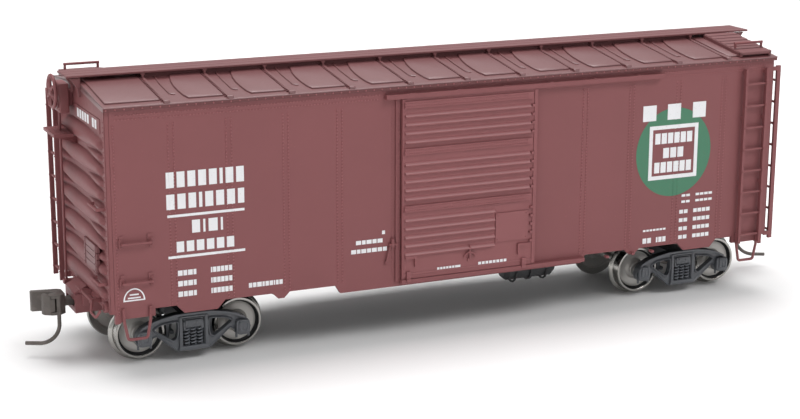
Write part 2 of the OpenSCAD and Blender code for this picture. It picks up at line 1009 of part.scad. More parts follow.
module knuckle() {
    z0 = coupler_z - head_height / 2;
    h = head_height;
    translate([knuckle_x, -knuckle_y, 0])
        color([0.38, 0.36, 0.34])
            difference() {
                translate([0, 0, z0 + 0.05])
                    linear_extrude(height = h - 0.1)
                        knuckle_plan();
                for (z = [z0 - 0.4, z0 + h - 0.66])
                    translate([0, 0, z])
                        cylinder(h = 1.06, d = 2.2);
            }
}

module knuckle_a() {
    knuckle();
}

module knuckle_b() {
    rotate([0, 0, 180])
        knuckle();
}

// ---------- trucks, built about their own centre ----------

module frame_plan() {
    h = wheelbase / 2;
    difference() {
        polygon([
            [-h - 1.6, axle_z - 1.5],
            [-h - 1.6, axle_z + 1.4],
            [-h - 0.9, axle_z + 2.3],
            [-h + 3.0, axle_z + 3.1],
            [-3.6, axle_z + 3.8],
            [3.6, axle_z + 3.8],
            [h - 3.0, axle_z + 3.1],
            [h + 0.9, axle_z + 2.3],
            [h + 1.6, axle_z + 1.4],
            [h + 1.6, axle_z - 1.5],
            [h - 1.4, axle_z - 1.5],
            [4.0, axle_z - 3.6],
            [-4.0, axle_z - 3.6],
            [-h + 1.4, axle_z - 1.5]
        ]);
        // spring window
        translate([-2.9, axle_z - 2.6])
            square([5.8, 5.3]);
        // end windows
        for (s = [-1, 1])
            polygon([
                [s * 3.9, axle_z + 2.7],
                [s * (h - 2.4), axle_z + 2.0],
                [s * (h - 2.2), axle_z + 1.6],
                [s * 3.9, axle_z - 1.6]
            ]);
    }
}

module truck_frame() {
    h = wheelbase / 2;
    color(truck_grey)
        difference() {
            union() {
                plate_xz(-frame_outer, -frame_inner)
                    frame_plan();
                for (s = [-1, 1])
                    block([s * h - 1.5, -frame_outer - box_face, axle_z - 1.6],
                        [s * h + 1.5, -frame_outer + 0.1, axle_z + 1.6]);
                for (i = [0 : spring_count - 1])
                    rod_z((i - (spring_count - 1) / 2) * (spring_diameter + 0.2),
                        -frame_inner - frame_thick / 2, axle_z - 2.7,
                        bolster_top - bolster_depth, spring_diameter);
            }
            // journal bores
            for (s = [-1, 1])
                rod_y(s * h, -axle_length / 2 - 0.15, -frame_inner + 1, axle_z,
                    journal + 2 * fit_clear);
        }
}

module truck_bolster() {
    z0 = bolster_top - bolster_depth;
    color(truck_grey)
        difference() {
            union() {
                block([-2.2, -frame_inner + 0.3, z0], [2.2, frame_inner - 0.3, bolster_top - 0.9]);
                block([-1.9, -frame_outer + 0.1, z0], [1.9, frame_outer - 0.1, z0 + 1.9]);
                translate([0, 0, z0])
                    cylinder(h = bolster_depth, d = 5.2);
            }
            translate([0, 0, z0 - 1])
                cylinder(h = bolster_depth + 2, d = screw_diameter + 0.16);
        }
}

module truck_b_bolster() {
    translate([-truck_x, 0, 0])
        truck_bolster();
}

module truck_a_bolster() {
    translate([truck_x, 0, 0])
        truck_bolster();
}

module truck_b_right() {
    translate([-truck_x, 0, 0])
        truck_frame();
}

module truck_b_left() {
    translate([-truck_x, 0, 0])
        rotate([0, 0, 180])
            truck_frame();
}

module truck_a_right() {
    translate([truck_x, 0, 0])
        truck_frame();
}

module truck_a_left() {
    translate([truck_x, 0, 0])
        rotate([0, 0, 180])
            truck_frame();
}

module king_screws() {
    z0 = bolster_top - bolster_depth;
    color(steel)
        for (s = [-1, 1])
            translate([s * truck_x, 0, 0]) {
                rod_z(0, 0, z0 - 0.2, floor_top, screw_diameter);
                rod_z(0, 0, z0 - 1.2, z0 - 0.1, screw_head);
            }
}

// the outline of half a wheelset, radius against distance along the axle
hub_r = axle_diameter / 2 + 0.3;
half_outline = [
    [axle_diameter / 2, wheel_in - 0.3],
    [hub_r, wheel_in - 0.3],
    [hub_r, wheel_in + 0.4],
    [tread_r - 1.1, wheel_in + 0.7],
    [tread_r - 0.8, wheel_in],
    [tread_r + flange - 0.15, wheel_in],
    [tread_r + flange, wheel_in + 0.15],
    [tread_r + flange, wheel_in + flange_width * 0.5],
    [tread_r + flange * 0.75, wheel_in + flange_width * 0.75],
    [tread_r, wheel_in + flange_width + 0.2],
    [tread_r - 0.12, wheel_out - 0.15],
    [tread_r - 0.25, wheel_out],
    [tread_r - 0.8, wheel_out],
    [tread_r - 1.1, wheel_out - 0.9],
    [hub_r, wheel_out - 0.7],
    [hub_r, frame_inner - 0.25],
    [journal / 2, frame_inner - 0.25],
    [journal / 2, axle_length / 2 - 0.2],
    [journal / 2 - 0.15, axle_length / 2],
    [0, axle_length / 2]
];
outline_count = len(half_outline);

module wheelset_plan() {
    polygon(concat(half_outline,
        [for (i = [0 : outline_count - 1])
            [half_outline[outline_count - 1 - i][0], -half_outline[outline_count - 1 - i][1]]]));
}

module wheelset(x) {
    color(steel)
        translate([x, 0, axle_z])
            rotate([90, 0, 0])
                rotate_extrude($fn = 96)
                    wheelset_plan();
}

module wheelset_b1() {
    wheelset(-truck_x - wheelbase / 2);
}

module wheelset_b2() {
    wheelset(-truck_x + wheelbase / 2);
}

module wheelset_a1() {
    wheelset(truck_x - wheelbase / 2);
}

module wheelset_a2() {
    wheelset(truck_x + wheelbase / 2);
}

// ---------- air brake gear ----------

module reservoir() {
    z = floor_bottom - reservoir_drop - reservoir_diameter / 2;
    l = reservoir_length / 2;
    color(dark) {
        translate([reservoir_x, -reservoir_y, z])
            rotate([0, 90, 0])
                rotate_extrude()
                    polygon([
                        [0, -l],
                        [reservoir_diameter / 2 - 0.7, -l],
                        [reservoir_diameter / 2, -l + 0.9],
                        [reservoir_diameter / 2, -0.3],
                        [reservoir_diameter / 2 + 0.35, -0.3],
                        [reservoir_diameter / 2 + 0.35, 0.3],
                        [reservoir_diameter / 2, 0.3],
                        [reservoir_diameter / 2, l - 0.9],
                        [reservoir_diameter / 2 - 0.7, l],
                        [0, l]
                    ]);
        for (x = [reservoir_x - l * 0.6, reservoir_x + l * 0.6])
            block([x - 0.4, -reservoir_y - 1.2, z + reservoir_diameter / 2 - 0.8],
                [x + 0.4, -reservoir_y + 1.2, floor_bottom]);
    }
}

module brake_cylinder() {
    z = floor_bottom - 0.8 - cylinder_diameter / 2;
    color(dark) {
        rod_x(cylinder_x, cylinder_x + cylinder_length, cylinder_y, z, cylinder_diameter);
        rod_x(cylinder_x - 0.8, cylinder_x, cylinder_y, z, cylinder_diameter + 0.7);
        rod_x(cylinder_x - 0.8 - push_rod, cylinder_x - 0.8, cylinder_y, z, 0.8);
        block([cylinder_x + 0.8, cylinder_y - 1.4, z + 1], [cylinder_x + 2.0, cylinder_y + 1.4, floor_bottom]);
        block([cylinder_x + cylinder_length - 2.0, cylinder_y - 1.4, z + 1],
            [cylinder_x + cylinder_length - 0.8, cylinder_y + 1.4, floor_bottom]);
    }
}

module control_valve() {
    color(dark) {
        block([-6, 6.2, floor_bottom - 4.0], [-3, 9.2, floor_bottom - 0.8]);
        block([-5.4, 6.8, floor_bottom - 0.9], [-3.6, 8.6, floor_bottom]);
        rod_x(-8.2, -1.0, 7.7, floor_bottom - 2.2, 2.4);
    }
}

module brake_pipes() {
    z = floor_bottom - pipe_diameter / 2;
    color(dark) {
        rod_x(-truck_x + 5, -tab_x - 1.2, pipe_y, z, pipe_diameter);
        rod_x(-tab_x + 1.2, -inner_bearer_x - 1.2, pipe_y, z, pipe_diameter);
        rod_x(-inner_bearer_x + 1.2, inner_bearer_x - 1.2, pipe_y, z, pipe_diameter);
        rod_x(inner_bearer_x + 1.2, tab_x - 1.2, pipe_y, z, pipe_diameter);
        rod_x(tab_x + 1.2, truck_x - 5, pipe_y, z, pipe_diameter);
    }
}

floor_plate();  // floor
centre_sill();
cross_members();
weight();
side_right();
side_left();
end_b();
end_a();
roof();
running_board();
lateral_boards();
roof_grabs();
door_right();
door_left();
tracks_right();
tracks_left();
side_ladders();
end_ladders();
grab_irons();
sill_steps();
brake_wheel();
brake_housing();
brake_step();
brake_rod();
uncoupling_levers();
tack_boards();
coupler_box_b();
coupler_box_a();
coupler_b();
coupler_a();
knuckle_b();
knuckle_a();
reservoir();
brake_cylinder();
control_valve();
brake_pipes();
truck_b_bolster();
truck_b_right();
truck_b_left();
truck_a_bolster();
truck_a_right();
truck_a_left();
king_screws();
wheelset_b1();
wheelset_b2();
wheelset_a1();
wheelset_a2();
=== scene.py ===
"""Visible detail for a small railway boxcar, built round its fixed CAD frame.

Sizes inside the functions are millimetres in the frame's own axes: +X along the car, +Z up,
z = 0 at the foot of the wheel flanges. Each finished mesh is scaled to metres once, at the end.
"""

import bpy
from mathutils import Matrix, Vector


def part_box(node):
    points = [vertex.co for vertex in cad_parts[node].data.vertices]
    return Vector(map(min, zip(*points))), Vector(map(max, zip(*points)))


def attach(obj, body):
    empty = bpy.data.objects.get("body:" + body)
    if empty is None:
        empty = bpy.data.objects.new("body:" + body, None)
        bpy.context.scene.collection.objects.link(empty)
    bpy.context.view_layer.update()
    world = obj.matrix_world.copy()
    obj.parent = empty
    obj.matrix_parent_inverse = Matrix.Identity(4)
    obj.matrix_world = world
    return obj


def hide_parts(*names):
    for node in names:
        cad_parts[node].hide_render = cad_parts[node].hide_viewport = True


bl_info = {
    "name": "Steel Boxcar Detail",
    "version": (1, 0, 0),
    "blender": (4, 5, 0),
    "location": "View3D > Sidebar > Boxcar",
    "description": "Builds the visible pieces and finishes of a small steel boxcar",
    "category": "Object",
}

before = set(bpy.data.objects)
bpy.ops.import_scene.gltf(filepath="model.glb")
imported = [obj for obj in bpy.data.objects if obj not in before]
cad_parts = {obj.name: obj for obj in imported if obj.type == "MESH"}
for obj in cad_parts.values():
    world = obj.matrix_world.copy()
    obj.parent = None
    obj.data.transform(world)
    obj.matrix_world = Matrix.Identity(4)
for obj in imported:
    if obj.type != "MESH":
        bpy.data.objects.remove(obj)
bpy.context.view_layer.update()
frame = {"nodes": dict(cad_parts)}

from math import atan, cos, pi, radians, sin, sqrt

import bmesh
import bpy
from bpy.props import FloatProperty, FloatVectorProperty, IntProperty, PointerProperty
from mathutils import Matrix, Vector

MM = 0.001
X, Y, Z = Vector((1, 0, 0)), Vector((0, 1, 0)), Vector((0, 0, 1))
HALF_TURN = Matrix.Rotation(pi, 4, "Z")

# The way out of the -Y side, then places on the body that the detail is built on, in millimetres.
OUT = (0, -1, 0)
SIDE_FACE = -17.25
PAINTED_FACE = SIDE_FACE - 0.035
DOOR_FACE = -18.15
END_FACE = 70.9
HALF_WHEELBASE = 9.6


# ---------------------------------------------------------------- settings


def length(name, value, text):
    """One size that a user may change, kept in metres."""
    return FloatProperty(
        name=name, default=value * MM, min=0.0, precision=5, unit="LENGTH", description=text
    )


def colour(name, value, text):
    """One colour that a user may change, in linear values."""
    return FloatVectorProperty(
        name=name, default=value, min=0.0, max=1.0, size=3, subtype="COLOR", description=text
    )


class BoxcarSizes(bpy.types.PropertyGroup):
    rivet_pitch: length("Rivet pitch", 0.63, "Distance between rivets along a seam")
    rivet_radius: length("Rivet radius", 0.19, "Radius of a rivet head")
    rivet_height: length("Rivet height", 0.13, "How far a rivet head stands proud")
    seam_pitch: length("Roof seam pitch", 11.9, "Distance between the roof's seam caps")
    panel_height: length("Roof panel height", 0.32, "Height of the raised flats in the roof")
    rib_pitch: length("End rib pitch", 4.62, "Distance between the end's main ribs")
    rib_first: length("First end rib", 15.4, "Height of the lowest main rib")
    rib_height: length("End rib height", 0.95, "How far the end's main ribs stand proud")
    door_rib: length("Door rib height", 0.55, "How far the door's ribs stand proud")
    ink: length("Ink thickness", 0.02, "Thickness of the printed marks")
    tread_radius: length("Tread radius", 4.8, "Radius of the wheel tread")
    flange: length("Flange height", 0.7, "Height of the flange over the tread")
    spring_wire: length("Spring wire", 0.17, "Radius of the truck spring wire")
    spring_turns: IntProperty(name="Spring turns", default=5, min=2, max=9, description="Turns in a spring")


class BoxcarColours(bpy.types.PropertyGroup):
    body: colour("Body paint", (0.227, 0.079, 0.083), "Oxide red of the body")
    truck: colour("Truck plastic", (0.088, 0.094, 0.106), "Blue-grey of the trucks")
    frame: colour("Underframe", (0.022, 0.022, 0.024), "Black of the underframe")
    coupler: colour("Coupler metal", (0.135, 0.118, 0.108), "Grey-brown of the couplers")
    wheel: colour("Wheel face", (0.50, 0.485, 0.46), "Grey of the wheel faces")
    tread: colour("Wheel tread", (0.40, 0.39, 0.37), "Bright metal of the treads")
    ink: colour("White ink", (0.80, 0.80, 0.82), "White of the stripes and marks")
    emblem: colour("Green ink", (0.060, 0.195, 0.115), "Green of the emblem")
    floor: colour("Floor", (0.93, 0.93, 0.93), "Pale floor under the car")


def size(name):
    """A size from the settings, in millimetres."""
    return getattr(bpy.context.scene.boxcar_sizes, name) / MM


def size_count(name):
    """A whole number from the settings."""
    return getattr(bpy.context.scene.boxcar_sizes, name)


def box(node):
    """A CAD node's lowest and highest corners, in millimetres."""
    low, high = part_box(node)
    return low / MM, high / MM


# ---------------------------------------------------------------- mesh tools


class Shape:
    """A mesh in millimetres that grows by bmesh operators and by copies of smaller shapes."""

    def __init__(self):
        self.bm = bmesh.new()

    def parts(self):
        return self.bm.verts[:] + self.bm.edges[:] + self.bm.faces[:]

    def put(self, matrix):
        bmesh.ops.transform(self.bm, matrix=matrix, verts=self.bm.verts)
        return self

    def move(self, x=0.0, y=0.0, z=0.0):
        return self.put(Matrix.Translation((x, y, z)))

    def add(self, *others, place=None):
        """Joins copies of other shapes to this one."""
        for other in others:
            mesh = bpy.data.meshes.new("joined")
            other.bm.to_mesh(mesh)
            if place is not None:
                mesh.transform(place)
            self.bm.from_mesh(mesh)
            bpy.data.meshes.remove(mesh)
        return self

    def copy(self):
        return Shape().add(self)

    def with_half_turn(self):
        """Adds a second copy, turned half round the car's upright axis."""
        return self.add(self.copy(), place=HALF_TURN)

    def repeat(self, step, count):
        """Makes a row of count copies, each one step on from the last."""
        if count > 1:
            bmesh.ops.spin(
                self.bm, geom=self.parts(), cent=(0, 0, 0), axis=(0, 0, 1), dvec=step,
                angle=0.0, steps=count - 1, use_duplicate=True,
            )
        return self

    def tidy(self, gap=1e-4):
        """Merges doubles and turns the faces outwards."""
        bmesh.ops.remove_doubles(self.bm, verts=self.bm.verts, dist=gap)
        bmesh.ops.recalc_face_normals(self.bm, faces=self.bm.faces)
        return self

    def finish(self, index):
        """Gives every face the piece's finish of that number."""
        for face in self.bm.faces:
            face.material_index = index
        return self

    def round_edges(self, offset, segments=2, angle=35):
        """Bevels the edges that turn by more than the angle."""
        sharp = [e for e in self.bm.edges if e.is_manifold and e.calc_face_angle() > radians(angle)]
        if sharp and offset:
            bmesh.ops.bevel(
                self.bm, geom=sharp, offset=offset, offset_type="OFFSET", segments=segments,
                profile=0.5, affect="EDGES", material=-1, clamp_overlap=True,
            )
        return self


def block(low, high, bevel=0.0, segments=1):
    """A box from corner to corner, with rounded edges if asked."""
    shape = Shape()
    low, high = Vector(low), Vector(high)
    bmesh.ops.create_cube(shape.bm, size=1.0)
    span = high - low
    shape.put(Matrix.Translation((low + high) / 2) @ Matrix.Diagonal((*span, 1.0)))
    return shape.round_edges(bevel, segments) if bevel else shape


def towards(direction):
    """The turn that takes +Z to a direction."""
    return Vector(direction).to_track_quat("Z", "Y").to_matrix().to_4x4()


def rod(start, end, radius, sides=12, end_radius=None):
    """A straight round bar, or a cone where its end has another radius."""
    start, end = Vector(start), Vector(end)
    span = end - start
    shape = Shape()
    bmesh.ops.create_cone(
        shape.bm, cap_ends=True, segments=sides, radius1=radius,
        radius2=radius if end_radius is None else end_radius, depth=span.length,
    )
    return shape.put(Matrix.Translation((start + end) / 2) @ towards(span))


def lathe(profile, centre=(0, 0, 0), axis=Z, steps=48):
    """Turns a line of (radius, along) points round an axis."""
    shape = Shape()
    line = [shape.bm.verts.new((radius, 0, along)) for radius, along in profile]
    edges = [shape.bm.edges.new(pair) for pair in zip(line, line[1:])]
    bmesh.ops.spin(
        shape.bm, geom=line + edges, cent=(0, 0, 0), axis=(0, 0, 1), angle=2 * pi,
        steps=steps, use_merge=True, use_duplicate=False,
    )
    return shape.tidy().put(Matrix.Translation(centre) @ towards(axis))


def rounded(points, bend, steps=4):
    """A line of points with its inner corners turned into short curves."""
    points = [Vector(p) for p in points]
    line = [points[0]]
    for before, corner, after in zip(points, points[1:], points[2:]):
        reach = min(bend, (before - corner).length / 2, (after - corner).length / 2)
        first = corner + (before - corner).normalized() * reach
        last = corner + (after - corner).normalized() * reach
        for i in range(steps + 1):
            t = i / steps
            line.append(first * (1 - t) ** 2 + corner * 2 * t * (1 - t) + last * t * t)
    return line + [points[-1]]


def wire(points, radius, bend=0.0, sides=2, closed=False):
    """A round wire along a line of points."""
    line = rounded(points, bend) if bend else [Vector(p) for p in points]
    curve = bpy.data.curves.new("wire", "CURVE")
    curve.dimensions = "3D"
    curve.bevel_depth = radius
    curve.bevel_resolution = sides
    curve.use_fill_caps = not closed
    spline = curve.splines.new("POLY")
    spline.points.add(len(line) - 1)
    for point, place in zip(spline.points, line):
        point.co = (*place, 1.0)
    spline.use_cyclic_u = closed
    holder = bpy.data.objects.new("wire", curve)
    mesh = bpy.data.meshes.new_from_object(holder)
    shape = Shape()
    shape.bm.from_mesh(mesh)
    bpy.data.objects.remove(holder)
    bpy.data.curves.remove(curve)
    bpy.data.meshes.remove(mesh)
    return shape.tidy()


PLANES = {
    "xz": lambda a, b, depth: (a, depth, b),
    "yz": lambda a, b, depth: (depth, a, b),
    "xy": lambda a, b, depth: (a, b, depth),
}


def plate(outline, plane, low, high, holes=(), bevel=0.0, segments=2, recess=None):
    """An outline, with any holes, pushed through from low to high across its plane.
    recess is (rim, depth): the high face is sunk inside a rim of that width."""
    shape = Shape()
    at = PLANES[plane]
    edges = []
    for loop in (outline, *holes):
        verts = [shape.bm.verts.new(at(a, b, low)) for a, b in loop]
        edges += [shape.bm.edges.new(pair) for pair in zip(verts, verts[1:] + verts[:1])]
    if holes:
        bmesh.ops.triangle_fill(shape.bm, edges=edges, use_beauty=True, use_dissolve=False)
    else:
        bmesh.ops.contextual_create(shape.bm, geom=edges)
    made = bmesh.ops.extrude_face_region(shape.bm, geom=shape.bm.faces[:])["geom"]
    moved = [v for v in made if isinstance(v, bmesh.types.BMVert)]
    bmesh.ops.translate(shape.bm, vec=Vector(at(0, 0, high - low)), verts=moved)
    shape.tidy()
    if recess:
        normal = Vector(at(0, 0, 1 if high > low else -1))
        faces = [f for f in shape.bm.faces if f.normal.dot(normal) > 0.9]
        bmesh.ops.inset_region(
            shape.bm, faces=faces, thickness=recess[0], depth=-recess[1], use_even_offset=True
        )
    return shape.round_edges(bevel, segments) if bevel else shape


def rectangle(a0, a1, b0, b1):
    """The four corners of a rectangle, in order."""
    return [(a0, b0), (a1, b0), (a1, b1), (a0, b1)]


def rivets(start, step, count, normal, radius=None):
    """A row of low six-sided rivet heads."""
    radius = radius or size("rivet_radius")
    start, normal = Vector(start), Vector(normal)
    head = rod(start - normal * 0.03, start + normal * size("rivet_height"), radius, 6, radius * 0.5)
    return head.repeat(step, count)


def coil(centre, radius, wire_radius, height, turns):
    """A standing coil spring."""
    shape = Shape()
    steps = 14
    bmesh.ops.create_circle(shape.bm, cap_ends=True, segments=6, radius=wire_radius)
    shape.put(Matrix.Translation((radius, 0, 0)) @ Matrix.Rotation(pi / 2, 4, "X"))
    bmesh.ops.spin(
        shape.bm, geom=shape.bm.faces[:], cent=(0, 0, 0), axis=(0, 0, 1), angle=2 * pi * turns,
        dvec=(0, 0, height / (steps * turns)), steps=steps * turns, use_merge=False, use_duplicate=False,
    )
    return shape.tidy(1e-5).move(*centre)


def copy_of(node, bevel, segments=2):
    """A CAD node's own shape, with its doubles merged and its edges rounded."""
    shape = Shape()
    shape.bm.from_mesh(frame["nodes"][node].data)
    shape.put(Matrix.Scale(1 / MM, 4)).tidy(2e-3)
    bmesh.ops.dissolve_limit(
        shape.bm, angle_limit=radians(3), verts=shape.bm.verts[:], edges=shape.bm.edges[:],
        use_dissolve_boundaries=False,
    )
    return shape.round_edges(bevel, segments)


def piece(name, shape, body, finish, smooth=35, replaces=()):
    """Turns a shape into a finished piece that rides on a CAD body."""
    shape.put(Matrix.Scale(MM, 4))
    mesh = bpy.data.meshes.new(name)
    shape.bm.to_mesh(mesh)
    shape.bm.free()
    mesh.shade_smooth()
    mesh.set_sharp_from_angle(angle=radians(smooth))
    made = bpy.data.objects.new(name, mesh)
    bpy.context.scene.collection.objects.link(made)
    for each in finish if isinstance(finish, (list, tuple)) else [finish]:
        mesh.materials.append(material(each))
    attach(made, body)
    if replaces:
        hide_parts(*replaces)
    return made


# ---------------------------------------------------------------- finishes


class Value:
    """A socket of a material, so that shader maths reads as plain arithmetic."""

    def __init__(self, finish, socket):
        self.finish, self.socket = finish, socket

    def maths(self, operation, first, second):
        return self.finish.node("ShaderNodeMath", {"operation": operation}, {0: first, 1: second})

    def __add__(self, other):
        return self.maths("ADD", self, other)

    def __sub__(self, other):
        return self.maths("SUBTRACT", self, other)

    def __rsub__(self, other):
        return self.maths("SUBTRACT", other, self)

    def __mul__(self, other):
        return self.maths("MULTIPLY", self, other)

    __radd__ = __add__
    __rmul__ = __mul__


class Finish:
    """One procedural material."""

    def __init__(self, name, rough, metallic=0.0, specular=0.5):
        self.material = bpy.data.materials.new(name)
        self.material.use_nodes = True
        self.tree = self.material.node_tree
        self.tree.nodes.clear()
        self.shader = self.tree.nodes.new("ShaderNodeBsdfPrincipled")
        out = self.tree.nodes.new("ShaderNodeOutputMaterial")
        self.tree.links.new(self.shader.outputs[0], out.inputs[0])
        self.put("Roughness", rough)
        self.put("Metallic", metallic)
        self.put("Specular IOR Level", specular)
        self.place = self.node("ShaderNodeTexCoord", {}, {}, "Object")

    def node(self, kind, settings, inputs, output=0):
        """Adds a node: its settings first, then the values or links of its sockets."""
        node = self.tree.nodes.new(kind)
        for key, value in settings.items():
            if key == "stops":
                for stop, (where, level) in zip(node.color_ramp.elements, value):
                    stop.position, stop.color = where, (level, level, level, 1)
            else:
                setattr(node, key, value)
        for key, value in inputs.items():
            self.set(node.inputs[key], value)
        return Value(self, node.outputs[output])

    def set(self, socket, value):
        if isinstance(value, Value):
            self.tree.links.new(value.socket, socket)
        else:
            socket.default_value = value

    def put(self, name, value):
        self.set(self.shader.inputs[name], value)

    def noise(self, scale, detail=2.0, rough=0.5, place=None):
        inputs = {"Vector": place or self.place, "Scale": scale, "Detail": detail, "Roughness": rough}
        return self.node("ShaderNodeTexNoise", {}, inputs)

    def stretched(self, x, y, z):
        """Object coordinates scaled by axis, for a grain that runs one way."""
        return self.node("ShaderNodeMapping", {}, {"Vector": self.place, "Scale": (x, y, z)})

    def ramp(self, value, low, high):
        return self.node("ShaderNodeValToRGB", {"stops": ((low, 0.0), (high, 1.0))}, {"Fac": value})

    def mix(self, factor, first, second):
        inputs = {0: factor, 6: rgba(first), 7: rgba(second)}
        return self.node("ShaderNodeMix", {"data_type": "RGBA"}, inputs, 2)

    def bump(self, height, strength, distance, before=None):
        inputs = {"Height": height, "Strength": strength, "Distance": distance}
        if before is not None:
            inputs["Normal"] = before
        return self.node("ShaderNodeBump", {}, inputs)


def rgba(value):
    return value if isinstance(value, Value) else (*value[:3], 1.0)


def tinted(value, factor):
    return tuple(min(1.0, c * factor) for c in value)


def moulded(name, tone, rough, grain=0.25, spread=0.1, specular=0.5):
    """Painted or moulded plastic: slow changes of tone, a fine surface grain and faint dust."""
    finish = Finish(name, rough, specular=specular)
    wide = finish.noise(60.0, 4.0, 0.55)
    fine = finish.noise(5200.0, 2.0)
    flow = finish.noise(900.0, 3.0, 0.6)
    speck = finish.ramp(finish.noise(2600.0, 1.0), 0.72, 0.8)
    base = finish.mix(wide, tinted(tone, 1 - spread), tinted(tone, 1 + spread))
    dusty = finish.mix(speck * 0.16, base, tinted(tone, 2.2))
    finish.put("Base Color", dusty)
    finish.put("Roughness", wide * 0.08 + flow * 0.12 + (rough - 0.1))
    finish.put("Normal", finish.bump(fine * 0.6 + flow * 0.4, grain, 0.00003))
    return finish.material


def cast(name, tone, rough, metallic):
    """Cast and chemically darkened metal with a pebbly skin and rubbed spots."""
    finish = Finish(name, rough, metallic)
    wide = finish.noise(320.0, 4.0, 0.6)
    fine = finish.noise(3800.0, 3.0, 0.6)
    rub = finish.ramp(finish.noise(700.0, 4.0, 0.65), 0.5, 0.72)
    base = finish.mix(wide, tinted(tone, 0.78), tinted(tone, 1.2))
    finish.put("Base Color", finish.mix(rub * 0.35, base, tinted(tone, 1.7)))
    finish.put("Roughness", rough + 0.1 - rub * 0.15 + fine * 0.05)
    finish.put("Normal", finish.bump(fine, 0.35, 0.00005))
    return finish.material


def turned(name, tone, rough, metallic):
    """Bright turned metal, with fine lathe marks that run round the axle."""
    finish = Finish(name, rough, metallic)
    marks = finish.noise(1.0, 2.0, 0.5, finish.stretched(260.0, 9000.0, 260.0))
    wide = finish.noise(240.0, 3.0)
    finish.put("Base Color", finish.mix(wide, tinted(tone, 0.82), tinted(tone, 1.1)))
    finish.put("Roughness", marks * 0.16 + (rough - 0.08))
    finish.put("Normal", finish.bump(marks, 0.2, 0.00002))
    return finish.material


def inked(name, tone, under):
    """Thin printed ink: nearly solid, with the paint showing through in tiny pinholes."""
    finish = Finish(name, 0.5, specular=0.4)
    fine = finish.noise(3600.0, 3.0, 0.6)
    holes = finish.ramp(fine, 0.64, 0.74)
    finish.put("Base Color", finish.mix(holes * 0.4, tone, under))
    finish.put("Roughness", fine * 0.12 + 0.44)
    finish.put("Normal", finish.bump(fine, 0.15, 0.00002))
    return finish.material


def slats(name, tone):
    """Paint over a grained surface, for the walking boards."""
    finish = Finish(name, 0.5)
    grain = finish.noise(1.0, 4.0, 0.6, finish.stretched(90.0, 2600.0, 2600.0))
    wide = finish.noise(70.0, 3.0)
    finish.put("Base Color", finish.mix(grain * 0.5 + wide * 0.5, tinted(tone, 0.86), tinted(tone, 1.16)))
    finish.put("Roughness", grain * 0.14 + 0.42)
    finish.put("Normal", finish.bump(grain, 0.3, 0.00004))
    return finish.material


def pale(name, tone):
    """The plain studio floor."""
    finish = Finish(name, 0.9, specular=0.1)
    finish.put("Base Color", finish.mix(finish.noise(8.0), tinted(tone, 0.995), tinted(tone, 1.005)))
    return finish.material


def makers():
    """Each finish's name and how it is made."""
    c = bpy.context.scene.boxcar_colours
    return {
        "body_paint": lambda n: moulded(n, c.body, 0.52, 0.25, 0.07, 0.3),
        # door_paint is the body paint made lighter to make up for the shade between the door ribs: painted
        # light.
        "door_paint": lambda n: moulded(n, tinted(c.body, 1.12), 0.5, 0.2, 0.07, 0.35),
        # rivet_paint is the body paint made lighter for rivet heads, rib crests and eave rivets: a painted
        # highlight.
        "rivet_paint": lambda n: moulded(n, tinted(c.body, 1.3), 0.42, 0.1, 0.08, 0.5),
        "roof_paint": lambda n: moulded(n, tinted(c.body, 0.74), 0.38, 0.2, 0.08, 1.0),
        # eave_paint is the body paint made darker for the eave strip, the seam-cap grooves and teeth and the
        # walkway stringers: painted shade.
        "eave_paint": lambda n: moulded(n, tinted(c.body, 0.62), 0.5, 0.2, 0.08, 0.3),
        "board_paint": lambda n: slats(n, tinted(c.body, 0.77)),
        "truck_plastic": lambda n: moulded(n, c.truck, 0.36, 0.3, 0.18, 0.7),
        # truck_highlight is the truck plastic made lighter for the springs: a painted highlight.
        "truck_highlight": lambda n: moulded(n, tinted(c.truck, 1.5), 0.36, 0.3, 0.18, 0.7),
        "underframe_black": lambda n: moulded(n, c.frame, 0.5, 0.3, 0.2),
        "coupler_metal": lambda n: cast(n, c.coupler, 0.5, 0.35),
        "plain_steel": lambda n: turned(n, c.wheel, 0.4, 0.9),
        "wheel_face": lambda n: turned(n, c.wheel, 0.42, 0.55),
        "wheel_tread": lambda n: turned(n, c.tread, 0.22, 1.0),
        # wheel_dark darkens the step inside the wheel rim: painted shade.
        "wheel_dark": lambda n: cast(n, c.frame, 0.55, 0.3),
        "white_ink": lambda n: inked(n, c.ink, c.body),
        "green_ink": lambda n: inked(n, c.emblem, c.body),
        "studio_floor": lambda n: pale(n, c.floor),
    }


def material(name):
    """A finish by its short name, made when it is first asked for."""
    full = "boxcar_" + name
    return bpy.data.materials.get(full) or makers()[name](full)


CAD_FINISHES = {
    "body_paint": (
        "side_right", "side_left", "tracks_right", "tracks_left",
        "side_ladders", "end_ladders", "grab_irons", "brake_rod", "roof_grabs",
        "coupler_box_b", "coupler_box_a",
    ),
    "door_paint": ("door_right", "door_left"),
    "roof_paint": ("roof",),
    "underframe_black": (
        "floor", "centre_sill", "cross_members", "reservoir", "brake_cylinder", "control_valve",
        "brake_pipes",
    ),
    "plain_steel": ("weight", "king_screws"),
    "truck_plastic": ("truck_b_bolster", "truck_a_bolster"),
}


# ---------------------------------------------------------------- body


SIDE_SEAMS = (26.3, 37.0, 48.0, 58.9)


def side_rivets():
    """Rivets of one long side, the one facing -Y."""
    face, pitch = -17.27, size("rivet_pitch")
    up, along = (0, 0, pitch), (pitch, 0, 0)
    shape = Shape()
    foot, top = 13.0, 47.3
    rows = int((top - foot) / pitch)
    for x in SIDE_SEAMS:
        for side in (-1, 1):
            for row in (-0.5, 0.5):
                shape.add(rivets((side * x + row, face, foot), up, rows, OUT))
    for side in (-1, 1):
        shape.add(rivets((side * 69.45, face, foot - 1.0), up, rows + 2, OUT))
    track_low, track_high = box("tracks_right")
    for first, last in ((-69.0, track_low.x - 0.6), (track_high.x + 0.6, 69.0)):
        for z, shift in ((47.75, 0.0), (48.55, pitch / 2)):
            shape.add(rivets((first + shift, face, z), along, int((last - first) / pitch), OUT))
    return shape


